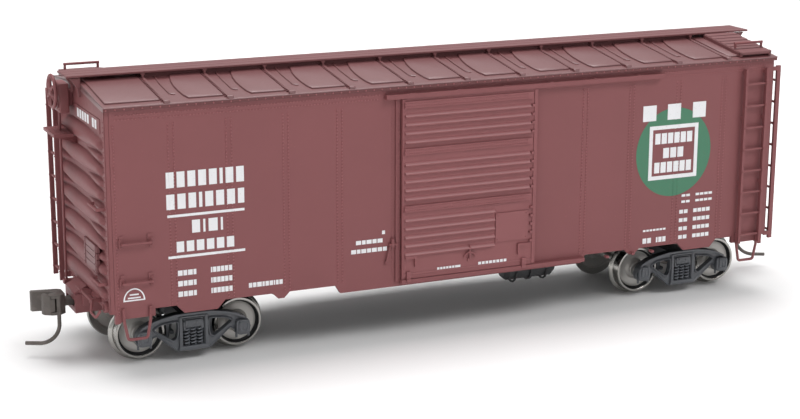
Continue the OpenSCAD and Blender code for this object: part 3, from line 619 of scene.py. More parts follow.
def side_laps():
    """Overlapping side plates and the top strip of the side facing -Y."""
    low, high = box("side_right")
    seams = [low.x, *(-x for x in reversed(SIDE_SEAMS)), *SIDE_SEAMS, high.x]
    shape = Shape()
    for first, last in list(zip(seams, seams[1:]))[::2]:
        if last - first < 30:
            shape.add(block((first + 0.02, -17.28, 13.0), (last, -17.2, 47.4)))
    return shape.add(block((-70.0, -17.3, 47.35), (70.0, -17.2, 49.3), 0.02))


class BOXCAR_OT_side_rivets(bpy.types.Operator):
    """Rivet rows and plate laps on both long sides"""

    bl_idname = "boxcar.side_rivets"
    bl_label = "Side rivets"

    def execute(self, context):
        piece("side_laps", side_laps().with_half_turn(), "car", "body_paint")
        # the rivet heads take the lighter finish: a painted highlight.
        finishes = ["rivet_paint", "white_ink", "green_ink"]
        piece("side_rivets", side_rivets().with_half_turn(), "car", finishes)
        return {"FINISHED"}


EAVE_Z, RIDGE_Z, ROOF_EDGE = 50.22, 52.6, 17.85


def roof_side():
    """Roof sheet, panels, grooves, seam caps and their teeth, and eave of the roof's -Y slope."""
    low, high = box("roof")
    pitch, lift = size("seam_pitch"), size("panel_height")
    wedge = [(-ROOF_EDGE, EAVE_Z - 0.1), (-ROOF_EDGE, EAVE_Z), (0, RIDGE_Z), (0, RIDGE_Z - 1)]
    sheet = plate(wedge, "yz", low.x, high.x)
    shape = Shape()
    flat = [
        (4.5, 1.7), (11.1, 1.7), (11.1, 17.0), (5.7, 17.0), (4.9, 14.2), (4.3, 11.8),
        (3.95, 9.0), (3.9, 6.0), (4.05, 3.4),
    ]
    curl = [(2.5, 16.4), (2.05, 11.0), (2.0, 5.4), (2.2, 4.7), (2.9, 4.5)]
    for i in range(-5, 5):
        start = i * pitch
        shape.add(plate([(start + u, w) for u, w in flat], "xy", -0.1, lift, bevel=0.28, segments=3))
        shape.add(wire([(start + u, w, 0.05) for u, w in curl], 0.17, 1.0, 2))
    for start, end in ((low.x + 0.8, -5 * pitch - 0.8), (5 * pitch + 0.8, high.x - 0.8)):
        shape.add(plate(rectangle(start, end, 1.7, 17.0), "xy", -0.1, lift, bevel=0.28, segments=3))
    for i in range(-5, 6):
        x = i * pitch
        shape.add(block((x - 0.3, 0.1, -0.1), (x + 0.3, 17.8, 0.3), 0.08))
        # a dark strip and teeth beside each seam cap, in the darker finish: painted shade.
        shape.add(block((x - 0.8, 1.2, -0.05), (x - 0.3, 17.2, 0.04)).finish(1))
        tooth = block((x - 0.74, 1.2, -0.05), (x - 0.28, 1.56, 0.22), 0.03).finish(1)
        shape.add(tooth.repeat((0, 0.8, 0), 20))
        shape.add(block((x - 0.62, 0.05, 0.0), (x + 0.62, 0.6, 0.5), 0.12, 2))
    turn = Matrix.Rotation(atan((RIDGE_Z - EAVE_Z) / ROOF_EDGE), 4, "X")
    shape.put(Matrix.Translation((0, -ROOF_EDGE, EAVE_Z)) @ turn).add(sheet)
    # turned-down eave with its rivets: the eave strip takes the darker finish, a painted shade, and the
    # rivets the lighter one, a painted highlight
    shape.add(rod((low.x, -17.9, EAVE_Z - 0.12), (high.x, -17.9, EAVE_Z - 0.12), 0.13, 8))
    shape.add(block((low.x, -17.92, 49.42), (high.x, -17.8, EAVE_Z - 0.2)).finish(1))
    count = int((high.x - low.x - 1) / 1.65)
    return shape.add(rivets((low.x + 0.5, -17.92, 49.72), (1.65, 0, 0), count, OUT, 0.2).finish(2))


class BOXCAR_OT_roof(bpy.types.Operator):
    """Raised roof panels with their grooves, seam caps and eave rivets"""

    bl_idname = "boxcar.roof"
    bl_label = "Roof panels"

    def execute(self, context):
        finishes = ["roof_paint", "eave_paint", "rivet_paint"]
        piece("roof_panels", roof_side().with_half_turn(), "car", finishes)
        return {"FINISHED"}


def walkway():
    """The long running board: three planks on saddles, with end brackets."""
    low, high = box("running_board")
    shape = Shape()
    gap = 0.14
    width = (high.y - low.y - 2 * gap) / 3
    for i in range(3):
        y = low.y + i * (width + gap)
        shape.add(block((low.x, y, high.z - 0.38), (high.x, y + width, high.z), 0.06))
    for i in range(-5, 6):
        x = i * size("seam_pitch")
        shape.add(block((x - 0.4, low.y + 0.1, high.z - 0.75), (x + 0.4, high.y - 0.1, high.z - 0.33), 0.05))
        for y in (-3.0, 3.0):
            shape.add(block((x - 0.2, y - 0.3, 51.9), (x + 0.2, y + 0.3, high.z - 0.6), 0.05))
    # stringers under the planks, in the darker finish: painted shade under the boards
    for y in (-2.3, 2.3):
        shape.add(block((-59.5, y - 0.2, 52.0), (59.5, y + 0.2, high.z - 0.3)).finish(1))
    for side in (-1, 1):
        tip = side * 73.0
        root = side * 71.15
        arm = root + side * 0.4
        bar = [(tip, 53.05), (root, 53.05), (root, 49.6), (arm, 49.6), (arm, 51.0)]
        for y in (-2.9, 2.3):
            shape.add(plate(bar, "xz", y, y + 0.6))
    return shape


def slatted_end():
    """The sloping boards at one end of the roof, on the A end's -Y side."""
    shape = Shape()
    x0, x1 = 62.6, 70.2
    top, foot = Vector((0, -3.5, 53.3)), Vector((0, -17.2, 51.35))
    run = foot - top
    reach = run.length
    count, gap = 7, 0.42
    width = (reach - 0.9 - gap * (count - 1)) / count
    for i in range(count):
        y = -0.1 - i * (width + gap)
        shape.add(block((x0 + 0.1, y - width, -0.5), (x1 - 0.1, y, 0.05), 0.08))
    shape.add(block((x0, -reach, -0.55), (x1, -reach + 0.75, 0.1), 0.08))
    for x in (x0, x1 - 0.6):
        shape.add(block((x, -reach, -0.95), (x + 0.6, 0, -0.1), 0.06))
    return shape.put(Matrix.Translation(top) @ Matrix.Rotation(atan(run.z / run.y), 4, "X"))


class BOXCAR_OT_walkways(bpy.types.Operator):
    """Running board and sloping end boards"""

    bl_idname = "boxcar.walkways"
    bl_label = "Walkways"

    def execute(self, context):
        piece(
            "walkway", walkway(), "car", ["board_paint", "eave_paint"],
            replaces=["running_board"],
        )
        piece(
            "sloping_boards", slatted_end().with_half_turn(), "car", "board_paint",
            replaces=["lateral_boards"],
        )
        return {"FINISHED"}


def smooth_step(low, high, value):
    t = max(0.0, min(1.0, (value - low) / (high - low)))
    return t * t * (3 - 2 * t)


def end_relief(y, z):
    """How far the pressed end stands proud at a point."""
    pitch, first, height = size("rib_pitch"), size("rib_first"), size("rib_height")
    across = abs(y)
    if across > 15.9:
        return 0.0
    best = 0.0
    taper = smooth_step(3.5, 14.4, across)
    close = sqrt(max(0.0, 1 - ((max(across, 14.1) - 14.1) / 1.4) ** 2)) if across < 15.5 else 0.0
    for i in range(7):
        offset = abs(z - first - i * pitch)
        half = (1.7 - 0.7 * taper) * (0.5 + 0.5 * close)
        if offset < half:
            best = max(best, height * close ** 0.5 * (1 - (offset / half) ** 2.4) ** 0.62)
    grow = smooth_step(3.5, 13.5, across)
    for i in range(6):
        offset = abs(z - first - (i + 0.5) * pitch)
        half = (0.1 + 0.68 * grow) * (0.5 + 0.5 * close)
        if offset < half:
            best = max(best, height * 0.8 * grow * close ** 0.5 * (1 - (offset / half) ** 2.2) ** 0.65)
    return best


def pressed_end():
    """The pressed steel end sheet at the A end, facing +X."""
    low, out = box("end_a")[0], END_FACE
    shape = Shape()
    gable = [
        (-17.2, low.z), (-3.7, low.z), (-3.7, 12.68), (3.7, 12.68), (3.7, low.z), (17.2, low.z),
        (17.2, 49.35), (0.0, 50.95), (-17.2, 49.35),
    ]
    shape.add(plate(gable, "yz", low.x + 0.02, out))
    skin = Shape()
    columns, rows, foot, top = 150, 230, 13.3, 44.9
    bmesh.ops.create_grid(skin.bm, x_segments=columns, y_segments=rows, size=1.0)
    edge = [e for e in skin.bm.edges if e.is_boundary]
    for v in skin.bm.verts:
        y, z = v.co.x * 15.9, (foot + top) / 2 + v.co.y * (top - foot) / 2
        v.co = (out + 0.02 + end_relief(y, z), y, z)
    made = bmesh.ops.extrude_edge_only(skin.bm, edges=edge)["geom"]
    back = [v for v in made if isinstance(v, bmesh.types.BMVert)]
    bmesh.ops.translate(skin.bm, vec=(-0.3, 0, 0), verts=back)
    bmesh.ops.contextual_create(skin.bm, geom=[e for e in made if isinstance(e, bmesh.types.BMEdge)])
    shape.add(skin.tidy())
    shape.add(block((out - 0.1, -17.2, low.z), (out + 0.12, -16.1, 49.2), 0.05))
    shape.add(block((out - 0.1, 16.1, low.z), (out + 0.12, 17.2, 49.2), 0.05))
    shape.add(block((out - 0.1, -2.6, 44.95), (out + 0.14, 14.6, 47.6), 0.06))
    for y in (-16.65, 16.65):
        shape.add(rivets((out + 0.12, y, 13.2), (0, 0, 0.9), 39, X))
    shape.add(rivets((out + 0.02, -15.6, 12.75), (0, 0.9, 0), 14, X))
    shape.add(rivets((out + 0.02, 4.0, 12.75), (0, 0.9, 0), 14, X))
    return shape


class BOXCAR_OT_ends(bpy.types.Operator):
    """Pressed end sheets with their tapered ribs"""

    bl_idname = "boxcar.ends"
    bl_label = "End sheets"

    def execute(self, context):
        sheet = pressed_end()
        turned_round = Shape().add(sheet, place=HALF_TURN)
        piece("end_sheet_a", sheet, "car", "body_paint", replaces=["end_a"])
        piece("end_sheet_b", turned_round, "car", "body_paint", replaces=["end_b"])
        return {"FINISHED"}


def tack_board():
    """The planked notice board on the A end."""
    corner, top = box("tack_boards")
    low, high = Vector((71.6, top.y - 8.6, corner.z)), Vector((72.15, top.y, top.z))
    shape = Shape()
    rows = 4
    height = (high.z - low.z) / rows
    for i in range(rows):
        z = low.z + i * height
        shape.add(block((low.x - 0.1, low.y, z + 0.04), (high.x, high.y, z + height - 0.04), 0.04))
    for y in (low.y + 0.5, high.y - 1.0):
        shape.add(block((low.x - 0.1, y, low.z), (high.x + 0.12, y + 0.5, high.z), 0.04))
        shape.add(rivets((high.x + 0.12, y + 0.25, low.z + 0.5), (0, 0, height), rows, X, 0.12))
    return shape


def lever_brackets():
    """Sloped plate over the coupler box, and the pockets by the corners, at the A end."""
    high = box("coupler_box_a")[1]
    shape = Shape()
    apron = [
        (70.8, high.z + 1.7), (71.2, high.z + 1.7), (high.x + 0.1, high.z + 0.35),
        (high.x + 0.1, high.z - 0.05), (70.8, high.z - 0.05),
    ]
    shape.add(plate(apron, "xz", -3.3, 3.3, bevel=0.12))
    for y in (-3.9, 3.3):
        shape.add(block((70.8, y, high.z - 2.2), (72.6, y + 0.6, high.z + 1.0), 0.12, 2))
    for y in (15.2, -15.2):
        pocket = [(0, 0.25), (0.55, 0.3), (0.7, 0.75), (0.95, 0.8), (1.05, 0.6), (1.05, -0.2)]
        shape.add(lathe(pocket, (END_FACE, y, 13.2), X, 20))
    return shape


def release_lever():
    """The uncoupling lever at the A end, with its brackets and hand loop."""
    high = box("uncoupling_levers")[1]
    x, z = 72.8, 13.4
    points = [(x, 0.6, 12.75), (x, 0.7, z), (x, 11.6, z), (x + 0.5, 12.3, 11.6)]
    points += [(x + 0.5, 15.9, 11.6), (x - 0.2, high.y - 0.2, 13.0)]
    shape = wire(points, 0.25, 0.6)
    for y in (3.9, 10.6):
        shape.add(block((70.8, y, z - 0.45), (x + 0.35, y + 0.45, z + 0.35), 0.1, 2))
    return shape


class BOXCAR_OT_end_fittings(bpy.types.Operator):
    """Notice boards and lever brackets on both ends"""

    bl_idname = "boxcar.end_fittings"
    bl_label = "End fittings"

    def execute(self, context):
        piece(
            "notice_boards", tack_board().with_half_turn(), "car", "board_paint",
            replaces=["tack_boards"],
        )
        piece("end_irons", lever_brackets().with_half_turn(), "car", "body_paint")
        piece(
            "release_levers", release_lever().with_half_turn(), "car", "body_paint",
            replaces=["uncoupling_levers"],
        )
        return {"FINISHED"}


def ladder_bolts():
    """Bolt heads on the ladders, and the feet of the grab irons, on the -Y side and the A end."""
    side, end = box("side_ladders")[0].y, box("end_ladders")[1].x
    shape = Shape()
    for x in (63.6, 68.6):
        shape.add(rivets((x, side, 12.9), (0, 0, 4.57), 8, OUT, 0.2))
    for y in (-16.77, -11.73):
        shape.add(rivets((end, y, 12.9), (0, 0, 4.57), 8, X, 0.2))
    for z in (17.9, 25.2):
        for x in (-68.8, -63.1):
            shape.add(block((x - 0.35, -17.6, z - 0.9), (x + 0.35, -17.2, z + 0.9), 0.12, 2))
            shape.add(rivets((x, -17.6, z + 0.6), (0, 0, -1.2), 2, OUT, 0.18))
    return shape


def stirrup(x0, x1):
    """A bent strap step under the -Y side between two places."""
    low, high = box("sill_steps")
    face, foot = -17.55, low.z + 0.3
    points = [(x0 - 0.45, face, high.z - 0.4), (x0 - 0.35, face, high.z - 3.0), (x0 + 0.3, face, foot)]
    points += [(x1 - 0.3, face, foot), (x1 + 0.35, face, high.z - 3.0), (x1 + 0.45, face, high.z - 0.4)]
    shape = wire(points, 0.29, 0.5)
    for x in (x0 - 0.45, x1 + 0.45):
        shape.add(rivets((x, face - 0.2, high.z - 0.9), (0, 0, -1.3), 2, OUT, 0.22))
    return shape


class BOXCAR_OT_steps(bpy.types.Operator):
    """Stirrup steps under the corners"""

    bl_idname = "boxcar.steps"
    bl_label = "Stirrup steps"

    def execute(self, context):
        low, high = box("sill_steps")
        shape = stirrup(low.x, low.x + 4.2).add(stirrup(high.x - 4.2, high.x))
        piece(
            "stirrup_steps", shape.with_half_turn(), "car", "body_paint",
            replaces=["sill_steps"],
        )
        return {"FINISHED"}


class BOXCAR_OT_ladder_bolts(bpy.types.Operator):
    """Bolt heads on the ladders and feet under the grab irons"""

    bl_idname = "boxcar.ladder_bolts"
    bl_label = "Ladder bolts"

    def execute(self, context):
        piece("ladder_bolts", ladder_bolts().with_half_turn(), "car", "body_paint")
        return {"FINISHED"}


# ---------------------------------------------------------------- doors

RIB_ROWS = ((44.03, 4), (34.63, 5), (23.7, 5))
RIB_STEP = 1.69
STRIP_ROWS = (46.45, 37.4, 26.25)


def door_face():
    """Ribs, strips and fittings on the outside of the right door, which faces -Y."""
    low, high = box("door_right")
    face, proud = DOOR_FACE, size("door_rib")
    left, right = low.x + 0.55, high.x - 1.55
    shape = Shape()

    def bar(x0, x1, foot):
        section = [
            (face + 0.1, foot), (face - proud * 0.9, foot), (face - proud, foot + 0.08),
            (face - proud, foot + 0.2), (face - proud * 0.1, foot + 0.72), (face + 0.1, foot + 0.8),
        ]
        return plate(section, "yz", x0, x1, bevel=0.03, segments=1)

    placard = 6.0
    for top, count in RIB_ROWS:
        for i in range(count):
            foot = top - i * RIB_STEP
            end = placard if 16.5 < foot < 24.0 else right
            shape.add(bar(left, end, foot))
            lug = (right + 0.2, face - 0.5, foot + 0.1), (right + 0.85, face + 0.1, foot + 0.6)
            shape.add(block(*lug, 0.06))
    pitch = 0.5
    for z in STRIP_ROWS:
        shape.add(block((left - 0.2, face - 0.45, z - 0.66), (right + 0.4, face + 0.1, z + 0.62), 0.03))
        for row in (-0.32, 0.3):
            count = int((right - left) / pitch)
            shape.add(rivets((left, face - 0.45, z + row), (pitch, 0, 0), count, OUT, 0.15))
    for x in (low.x, high.x - 0.75):
        shape.add(block((x, face - 0.16, low.z + 0.3), (x + 0.75, face + 0.1, high.z - 0.1), 0.05))
    shape.add(rivets((low.x + 0.38, face - 0.16, 13.6), (0, 0, 0.75), 44, OUT, 0.13))
    shape.add(block((low.x, face - 0.14, 13.1), (high.x, face + 0.1, 13.45), 0.05))
    # corner irons, bottom claws and placard rim
    for x, way in ((low.x + 0.6, 1), (high.x - 3.9, -1)):
        iron = [(x, 16.9), (x + 2.5, 16.9), (x + 2.5, 14.7), (x + 2.0, 14.7), (x + 2.0, 16.4), (x, 16.4)]
        iron = iron if way > 0 else [(2 * x + 2.5 - a, b) for a, b in iron]
        shape.add(plate(iron, "xz", face - 0.46, face + 0.1))
    for x in (low.x + 0.9, high.x - 3.0):
        shape.add(block((x, face - 0.5, low.z), (x + 0.9, face + 0.1, low.z + 1.5), 0.08))
        shape.add(block((x, face - 0.5, low.z - 0.5), (x + 0.9, face - 0.3, low.z + 0.2), 0.05))
    for z in (18.2, 23.0):
        shape.add(rivets((6.7, face - 0.25, z), (6.2, 0, 0), 2, OUT, 0.15))
    # lock wheel with its rod
    angles = [a * pi / 12 for a in range(1, 12)]
    shape.add(wire([(0.6 + 1.25 * cos(a), face - 0.32, 15.1 + 1.25 * sin(a)) for a in angles], 0.17))
    shape.add(rod((0.6, face - 0.34, 15.0), (0.6, face - 0.34, 17.8), 0.17))
    shape.add(rod((0.6, face + 0.1, 14.9), (0.6, face - 0.3, 14.9), 0.42, 16))
    handle = [(4.0, face - 0.1, 25.6), (4.0, face - 0.28, 25.4)]
    handle += [(7.0, face - 0.28, 25.4), (7.0, face - 0.1, 25.6)]
    shape.add(wire(handle, 0.1))
    # the upper slopes of the ribs take the lighter finish, a painted highlight
    shape.bm.normal_update()
    for each in shape.bm.faces:
        if each.normal.z > 0.4 and each.normal.y < -0.4:
            each.material_index = 1
    return shape


def door_post():
    """Latch and post rivets beside the right door, on the body."""
    shape = Shape()
    shape.add(rivets((-15.6, SIDE_FACE, 13.4), (0, 0, 0.63), 53, OUT, 0.12))
    shape.add(rivets((-14.45, -18.0, 13.6), (0, 0, 0.9), 36, OUT, 0.1))
    shape.add(block((-16.3, -17.95, 19.2), (-14.5, -17.1, 19.65), 0.12, 2))
    shape.add(block((-15.8, -17.85, 18.8), (-15.2, -17.1, 20.6), 0.12, 2))
    shape.add(wire([(-16.0, -17.8, 19.2), (-16.4, -17.7, 17.9), (-16.9, -17.5, 15.7)], 0.18, 0.5))
    shape.add(wire([(-16.5, -17.6, 15.8), (-16.9, -17.6, 15.7), (-17.1, -17.6, 16.2)], 0.13))
    for x in (-12.0, -2.0, 8.0, 18.0, 28.0, 38.0):
        shape.add(block((x - 0.5, -18.45, 48.4), (x + 0.5, -17.2, 48.66), 0.06))
    for x in (20.0, 26.0, 32.0, 38.0, 42.6):
        shape.add(block((x - 0.35, -18.3, 11.5), (x + 0.35, -17.2, 11.95), 0.06))
    return shape


class BOXCAR_OT_doors(bpy.types.Operator):
    """Ribs, strips and latches of both doors"""

    bl_idname = "boxcar.doors"
    bl_label = "Doors"

    def execute(self, context):
        face = door_face()
        other = Shape().add(face, place=HALF_TURN)
        finishes = ["door_paint", "rivet_paint"]
        piece("door_right_ribs", face, "door_right", finishes, 25)
        piece("door_left_ribs", other, "door_left", finishes, 25)
        piece("door_posts", door_post().with_half_turn(), "car", "body_paint")
        return {"FINISHED"}


# ---------------------------------------------------------------- brake gear


def hand_wheel():
    """The spoked brake wheel on the B end."""
    low, high = box("brake_wheel")
    centre = (low + high) / 2
    radius = (high.z - low.z) / 2
    rim = radius - 0.38
    shape = Shape()
    ring = [(rim + 0.38 * cos(a * pi / 6), 0.34 * sin(a * pi / 6)) for a in range(12)]
    shape.add(lathe(ring + ring[:1], steps=48))
    shape.add(lathe([(0, -0.35), (0.75, -0.3), (0.95, 0.0), (0.75, 0.4), (0.35, 0.55), (0, 0.6)], steps=24))
    for i in range(6):
        angle = i * pi / 3 + pi / 6
        inner = Vector((0.7 * cos(angle), 0.7 * sin(angle), 0.15))
        middle = Vector((1.7 * cos(angle + 0.1), 1.7 * sin(angle + 0.1), 0.28))
        outer = Vector((rim * cos(angle), rim * sin(angle), 0.0))
        shape.add(wire([inner, middle, outer], 0.3, 0.8, 2))
    shape.put(Matrix.Translation((low.x + 0.36, centre.y, centre.z)) @ towards(-X))
    shape.add(rod((low.x + 0.3, centre.y, centre.z), (high.x + 0.4, centre.y, centre.z), 0.4, 16))
    return shape


def brake_box():
    """The gear housing behind the brake wheel."""
    low, high = box("brake_housing")
    shape = copy_of("brake_housing", 0.25, 3)
    middle = (low + high) / 2
    shape.add(rod((low.x - 0.1, middle.y, middle.z - 1.2), (low.x + 0.4, middle.y, middle.z - 1.2), 1.1, 20))
    for y in (low.y + 0.6, high.y - 0.6):
        shape.add(rivets((low.x, y, low.z + 0.6), (0, 0, high.z - low.z - 1.2), 2, -X, 0.22))
    return shape


class BOXCAR_OT_hand_brake(bpy.types.Operator):
    """Brake wheel, housing and step"""

    bl_idname = "boxcar.hand_brake"
    bl_label = "Hand brake"

    def execute(self, context):
        piece("hand_wheel", hand_wheel(), "car", "body_paint", replaces=["brake_wheel"])
        piece("brake_box", brake_box(), "car", "body_paint", replaces=["brake_housing"])
        step = copy_of("brake_step", 0.08, 1)
        low, high = box("brake_step")
        for i in range(5):
            x = low.x + 0.5 + i * 0.6
            step.add(block((x, low.y + 0.3, high.z - 0.02), (x + 0.25, high.y - 0.3, high.z + 0.06)))
        piece("brake_platform", step, "car", "body_paint", replaces=["brake_step"])
        return {"FINISHED"}


# ---------------------------------------------------------------- couplers


def coupler_parts(end):
    """The coupler and knuckle of one end, with their edges rounded as castings are."""
    head = copy_of("coupler_" + end, 0.16, 2)
    knuckle = copy_of("knuckle_" + end, 0.2, 3)
    return head, knuckle


class BOXCAR_OT_couplers(bpy.types.Operator):
    """Couplers, knuckles and the bolts of their boxes"""

    bl_idname = "boxcar.couplers"
    bl_label = "Couplers"

    def execute(self, context):
        for end in ("b", "a"):
            head, knuckle = coupler_parts(end)
            piece(
                "coupler_head_" + end, head, "coupler_" + end, "coupler_metal",
                replaces=["coupler_" + end],
            )
            piece(
                "coupler_knuckle_" + end, knuckle, "knuckle_" + end, "coupler_metal",
                replaces=["knuckle_" + end],
            )
        bolts = Shape()
        low, high = box("coupler_box_a")
        bolts.add(lathe([(0, -0.5), (1.0, -0.45), (1.1, -0.2), (1.1, 0.1)], (67.2, 0, low.z), Z, 24))
        for y in (low.y, high.y):
            way = (0, 1 if y > 0 else -1, 0)
            bolts.add(rivets((65.2, y, 10.8), (1.5, 0, 0), 4, way, 0.18))
        piece("box_bolts", bolts.with_half_turn(), "car", "body_paint")
        return {"FINISHED"}


# ---------------------------------------------------------------- trucks


def rounded_outline(points, bend):
    """A closed line of (x, z) points with its corners rounded."""
    line = []
    for i, here in enumerate(points):
        here = Vector(here)
        before, after = Vector(points[i - 1]), Vector(points[(i + 1) % len(points)])
        reach = min(bend, (before - here).length * 0.45, (after - here).length * 0.45)
        first = here + (before - here).normalized() * reach
        last = here + (after - here).normalized() * reach
        for t in (0.0, 0.33, 0.67, 1.0):
            line.append(tuple(first * (1 - t) ** 2 + here * 2 * t * (1 - t) + last * t * t))
    return line


TRUCK_HALF = (
    (0.0, 3.8), (3.6, 3.75), (6.2, 3.3), (8.4, 2.7), (10.0, 1.9), (10.9, 0.9), (11.3, -0.3),
    (11.0, -1.5), (9.6, -1.9), (8.4, -1.6), (7.9, -0.5), (7.2, -0.2), (3.3, -3.5), (0.0, -3.6),
)
TRUCK_WINDOW = ((2.95, 2.35), (6.4, 2.0), (7.7, 1.25), (7.3, 0.75), (4.0, -1.5), (3.25, -1.1), (2.95, 0.3))


def truck_frame():
    """One cast side frame about its truck's own centre, on the -Y side."""
    axle = size("tread_radius") + size("flange")
    inner, outer = -10.9, -12.4
    right = [(x, axle + z) for x, z in TRUCK_HALF]
    left = [(-x, z) for x, z in reversed(right[1:-1])]
    holes = [rounded_outline(rectangle(-2.1, 2.1, axle - 2.7, axle + 2.75), 0.4)]
    for s in (-1, 1):
        holes.append(rounded_outline([(s * x, axle + z) for x, z in TRUCK_WINDOW], 0.6))
    shape = plate(right + left, "xz", inner, outer, holes, recess=(0.3, 0.3))
    shape.round_edges(0.08, 1, 50)
    # heavier outer chord over the top
    crown = [(x, axle + z) for x, z in TRUCK_HALF[:6]]
    crown = [(-x, z) for x, z in reversed(crown[1:])] + crown
    under = [(x * 0.985, z - 0.5) for x, z in reversed(crown)]
    shape.add(plate(crown + under, "xz", inner, outer - 0.3, bevel=0.08, segments=1))
    for s in (-1, 1):
        x = s * HALF_WHEELBASE
        box_line = rectangle(x - 1.35, x + 1.35, axle - 1.7, axle + 1.3)
        shape.add(plate(rounded_outline(box_line, 0.8), "xz", outer + 0.6, outer - 0.65, bevel=0.14))
        lid = rectangle(x - 1.0, x + 1.0, axle - 1.2, axle + 0.9)
        shape.add(plate(rounded_outline(lid, 0.5), "xz", outer - 0.5, outer - 0.9, bevel=0.08, segments=1))
        rib = [(x - 0.75, outer - 0.9, axle + 0.7), (x - 0.7, outer - 0.9, axle - 0.85)]
        rib += [(x + 0.7, outer - 0.9, axle - 0.85), (x + 0.75, outer - 0.9, axle + 0.7)]
        shape.add(wire(rib, 0.17, 0.5))
        shape.add(block((x - 0.1, outer - 1.0, axle - 0.7), (x + 0.1, outer - 0.7, axle + 0.6), 0.04))
        shape.add(rod((x - 0.75, outer - 0.75, axle + 1.05), (x + 0.75, outer - 0.75, axle + 1.05), 0.2, 10))
        for bolt in (x - 1.2, x + 1.2):
            shape.add(rod((bolt, outer + 0.1, axle - 2.25), (bolt, outer + 0.1, axle - 1.2), 0.24, 6))
        # columns beside the springs, and rims of the windows
        post = (s * 2.5 - 0.3, outer - 0.2, axle - 3.0), (s * 2.5 + 0.3, outer + 0.5, axle + 3.1)
        shape.add(block(*post, 0.1, 2))
        rim = rounded_outline([(s * a, axle + b) for a, b in TRUCK_WINDOW], 0.6)
        shape.add(wire([(a, outer + 0.02, b) for a, b in rim], 0.14, closed=True))
    shape.add(block((-2.9, outer - 0.25, axle - 3.5), (2.9, outer + 1.0, axle - 2.65), 0.12, 2))
    shape.add(block((-2.6, outer - 0.12, axle + 2.75), (2.6, outer + 0.6, axle + 3.15), 0.08))
    return shape


def spring_set():
    """The coil springs of one side, about the truck's own centre."""
    axle = size("tread_radius") + size("flange")
    shape = Shape()
    foot, top = axle - 2.65, 6.25
    # the coils take the lighter truck finish, a painted highlight; the rods inside them and the plate behind
    # take the underframe black, painted shade.
    for x in (-1.3, 0.0, 1.3):
        turns = size_count("spring_turns")
        shape.add(coil((x, -12.0, foot + 0.1), 0.5, size("spring_wire"), top - foot - 0.2, turns))
        shape.add(rod((x, -11.7, foot), (x, -11.7, top), 0.2, 10).finish(1))
    shape.add(block((-2.1, -11.3, foot), (2.1, -11.0, top)).finish(1))
    shape.add(block((-2.0, -12.3, top - 0.15), (2.0, -11.0, top + 0.1), 0.04))
    return shape


def bolster_end():
    """The end of the bolster that shows in the window, with its wedges."""
    shape = Shape()
    shape.add(block((-1.7, -12.75, 6.45), (1.7, -12.1, 7.9), 0.18, 2))
    for s in (-1, 1):
        shape.add(rod((s * 0.8, -12.85, 7.2), (s * 0.8, -12.5, 7.2), 0.4, 14))
        shape.add(block((s * 1.75 - 0.25, -12.5, 5.9), (s * 1.75 + 0.25, -12.0, 7.6), 0.08))
    return shape


def brake_rigging():
    """Brake beams, shoes and hangers of one truck, about its own centre."""
    shape = Shape()
    for s in (-1, 1):
        beam = s * 3.45
        shape.add(block((beam - 0.35, -9.9, 4.7), (beam + 0.35, 9.9, 5.4), 0.12, 2))
        for y in (-3.0, 3.0):
            shape.add(rod((beam, y, 5.0), (beam + s * 0.2, 0.0, 5.6), 0.3, 8))
        for y in (-8.6, 8.6):
            arc = []
            for i in range(7):
                angle = (i - 3) * 0.13
                arc.append((s * HALF_WHEELBASE - s * 5.1 * cos(angle), 5.5 + 5.1 * sin(angle)))
            back = [(a - s * 0.65, b) for a, b in reversed(arc)]
            shape.add(plate(arc + back, "xz", y - 1.0, y + 1.0, bevel=0.06, segments=1))
            shape.add(wire([(beam, y, 5.2), (s * 3.2, y, 7.4), (s * 2.6, y, 8.4)], 0.22, 0.4))
    return shape


def about_truck(shape, end, turn=False):
    """Places a shape made about a truck's own centre."""
    low, high = box("truck_%s_bolster" % end)
    place = Matrix.Translation(((low.x + high.x) / 2, 0, 0))
    return Shape().add(shape, place=place @ HALF_TURN if turn else place)


class BOXCAR_OT_trucks(bpy.types.Operator):
    """Side frames, springs, bolster ends and brake rigging of both trucks"""

    bl_idname = "boxcar.trucks"
    bl_label = "Trucks"

    def execute(self, context):
        side, springs, ends, rigging = truck_frame(), spring_set(), bolster_end(), brake_rigging()
        for end in ("b", "a"):
            for hand, turn in (("right", False), ("left", True)):
                name = "truck_%s_%s" % (end, hand)
                piece(
                    name + "_frame", about_truck(side, end, turn), "truck_" + end, "truck_plastic",
                    40, replaces=[name],
                )
                piece(
                    name + "_springs", about_truck(springs, end, turn), "truck_" + end,
                    ["truck_highlight", "underframe_black"], 50,
                )
            both = Shape().add(ends).with_half_turn()
            for part, made in (("ends", both), ("brakes", rigging)):
                piece(
                    "truck_%s_%s" % (end, part), about_truck(made, end), "truck_" + end,
                    "truck_plastic",
                )
        return {"FINISHED"}


def wheel_profile():
    """(radius, along) of one wheel, from its inner face to its outer hub."""
    tread = size("tread_radius")
    rim = tread + size("flange")
    return [
        (1.1, 7.0), (1.9, 7.05), (2.1, 7.3), (3.9, 7.55), (4.15, 7.25), (rim - 0.25, 7.2), (rim, 7.42),
        (rim, 7.6), (rim - 0.2, 7.85), (tread + 0.08, 8.05), (tread, 8.35), (tread - 0.06, 9.75),
        (tread - 0.16, 9.9), (tread - 0.5, 9.9), (tread - 0.62, 9.8), (tread - 0.7, 9.35),
        (tread - 1.0, 9.0), (3.2, 8.75), (2.2, 8.8), (1.75, 9.2), (1.65, 9.75), (1.5, 9.85), (1.1, 9.85),
    ]


def wheel_half():
    """The +Y half of a wheelset at the origin: wheel, axle and journal."""
    shape = lathe(wheel_profile(), axis=Y, steps=72)
    shape.add(lathe([(0.75, 0.0), (0.75, 3.0), (1.05, 6.0), (1.1, 7.2)], axis=Y, steps=32))
    shape.add(lathe([(1.1, 9.7), (0.9, 10.2), (0.5, 10.4), (0.5, 12.0), (0, 12.4)], axis=Y, steps=24))
    return shape


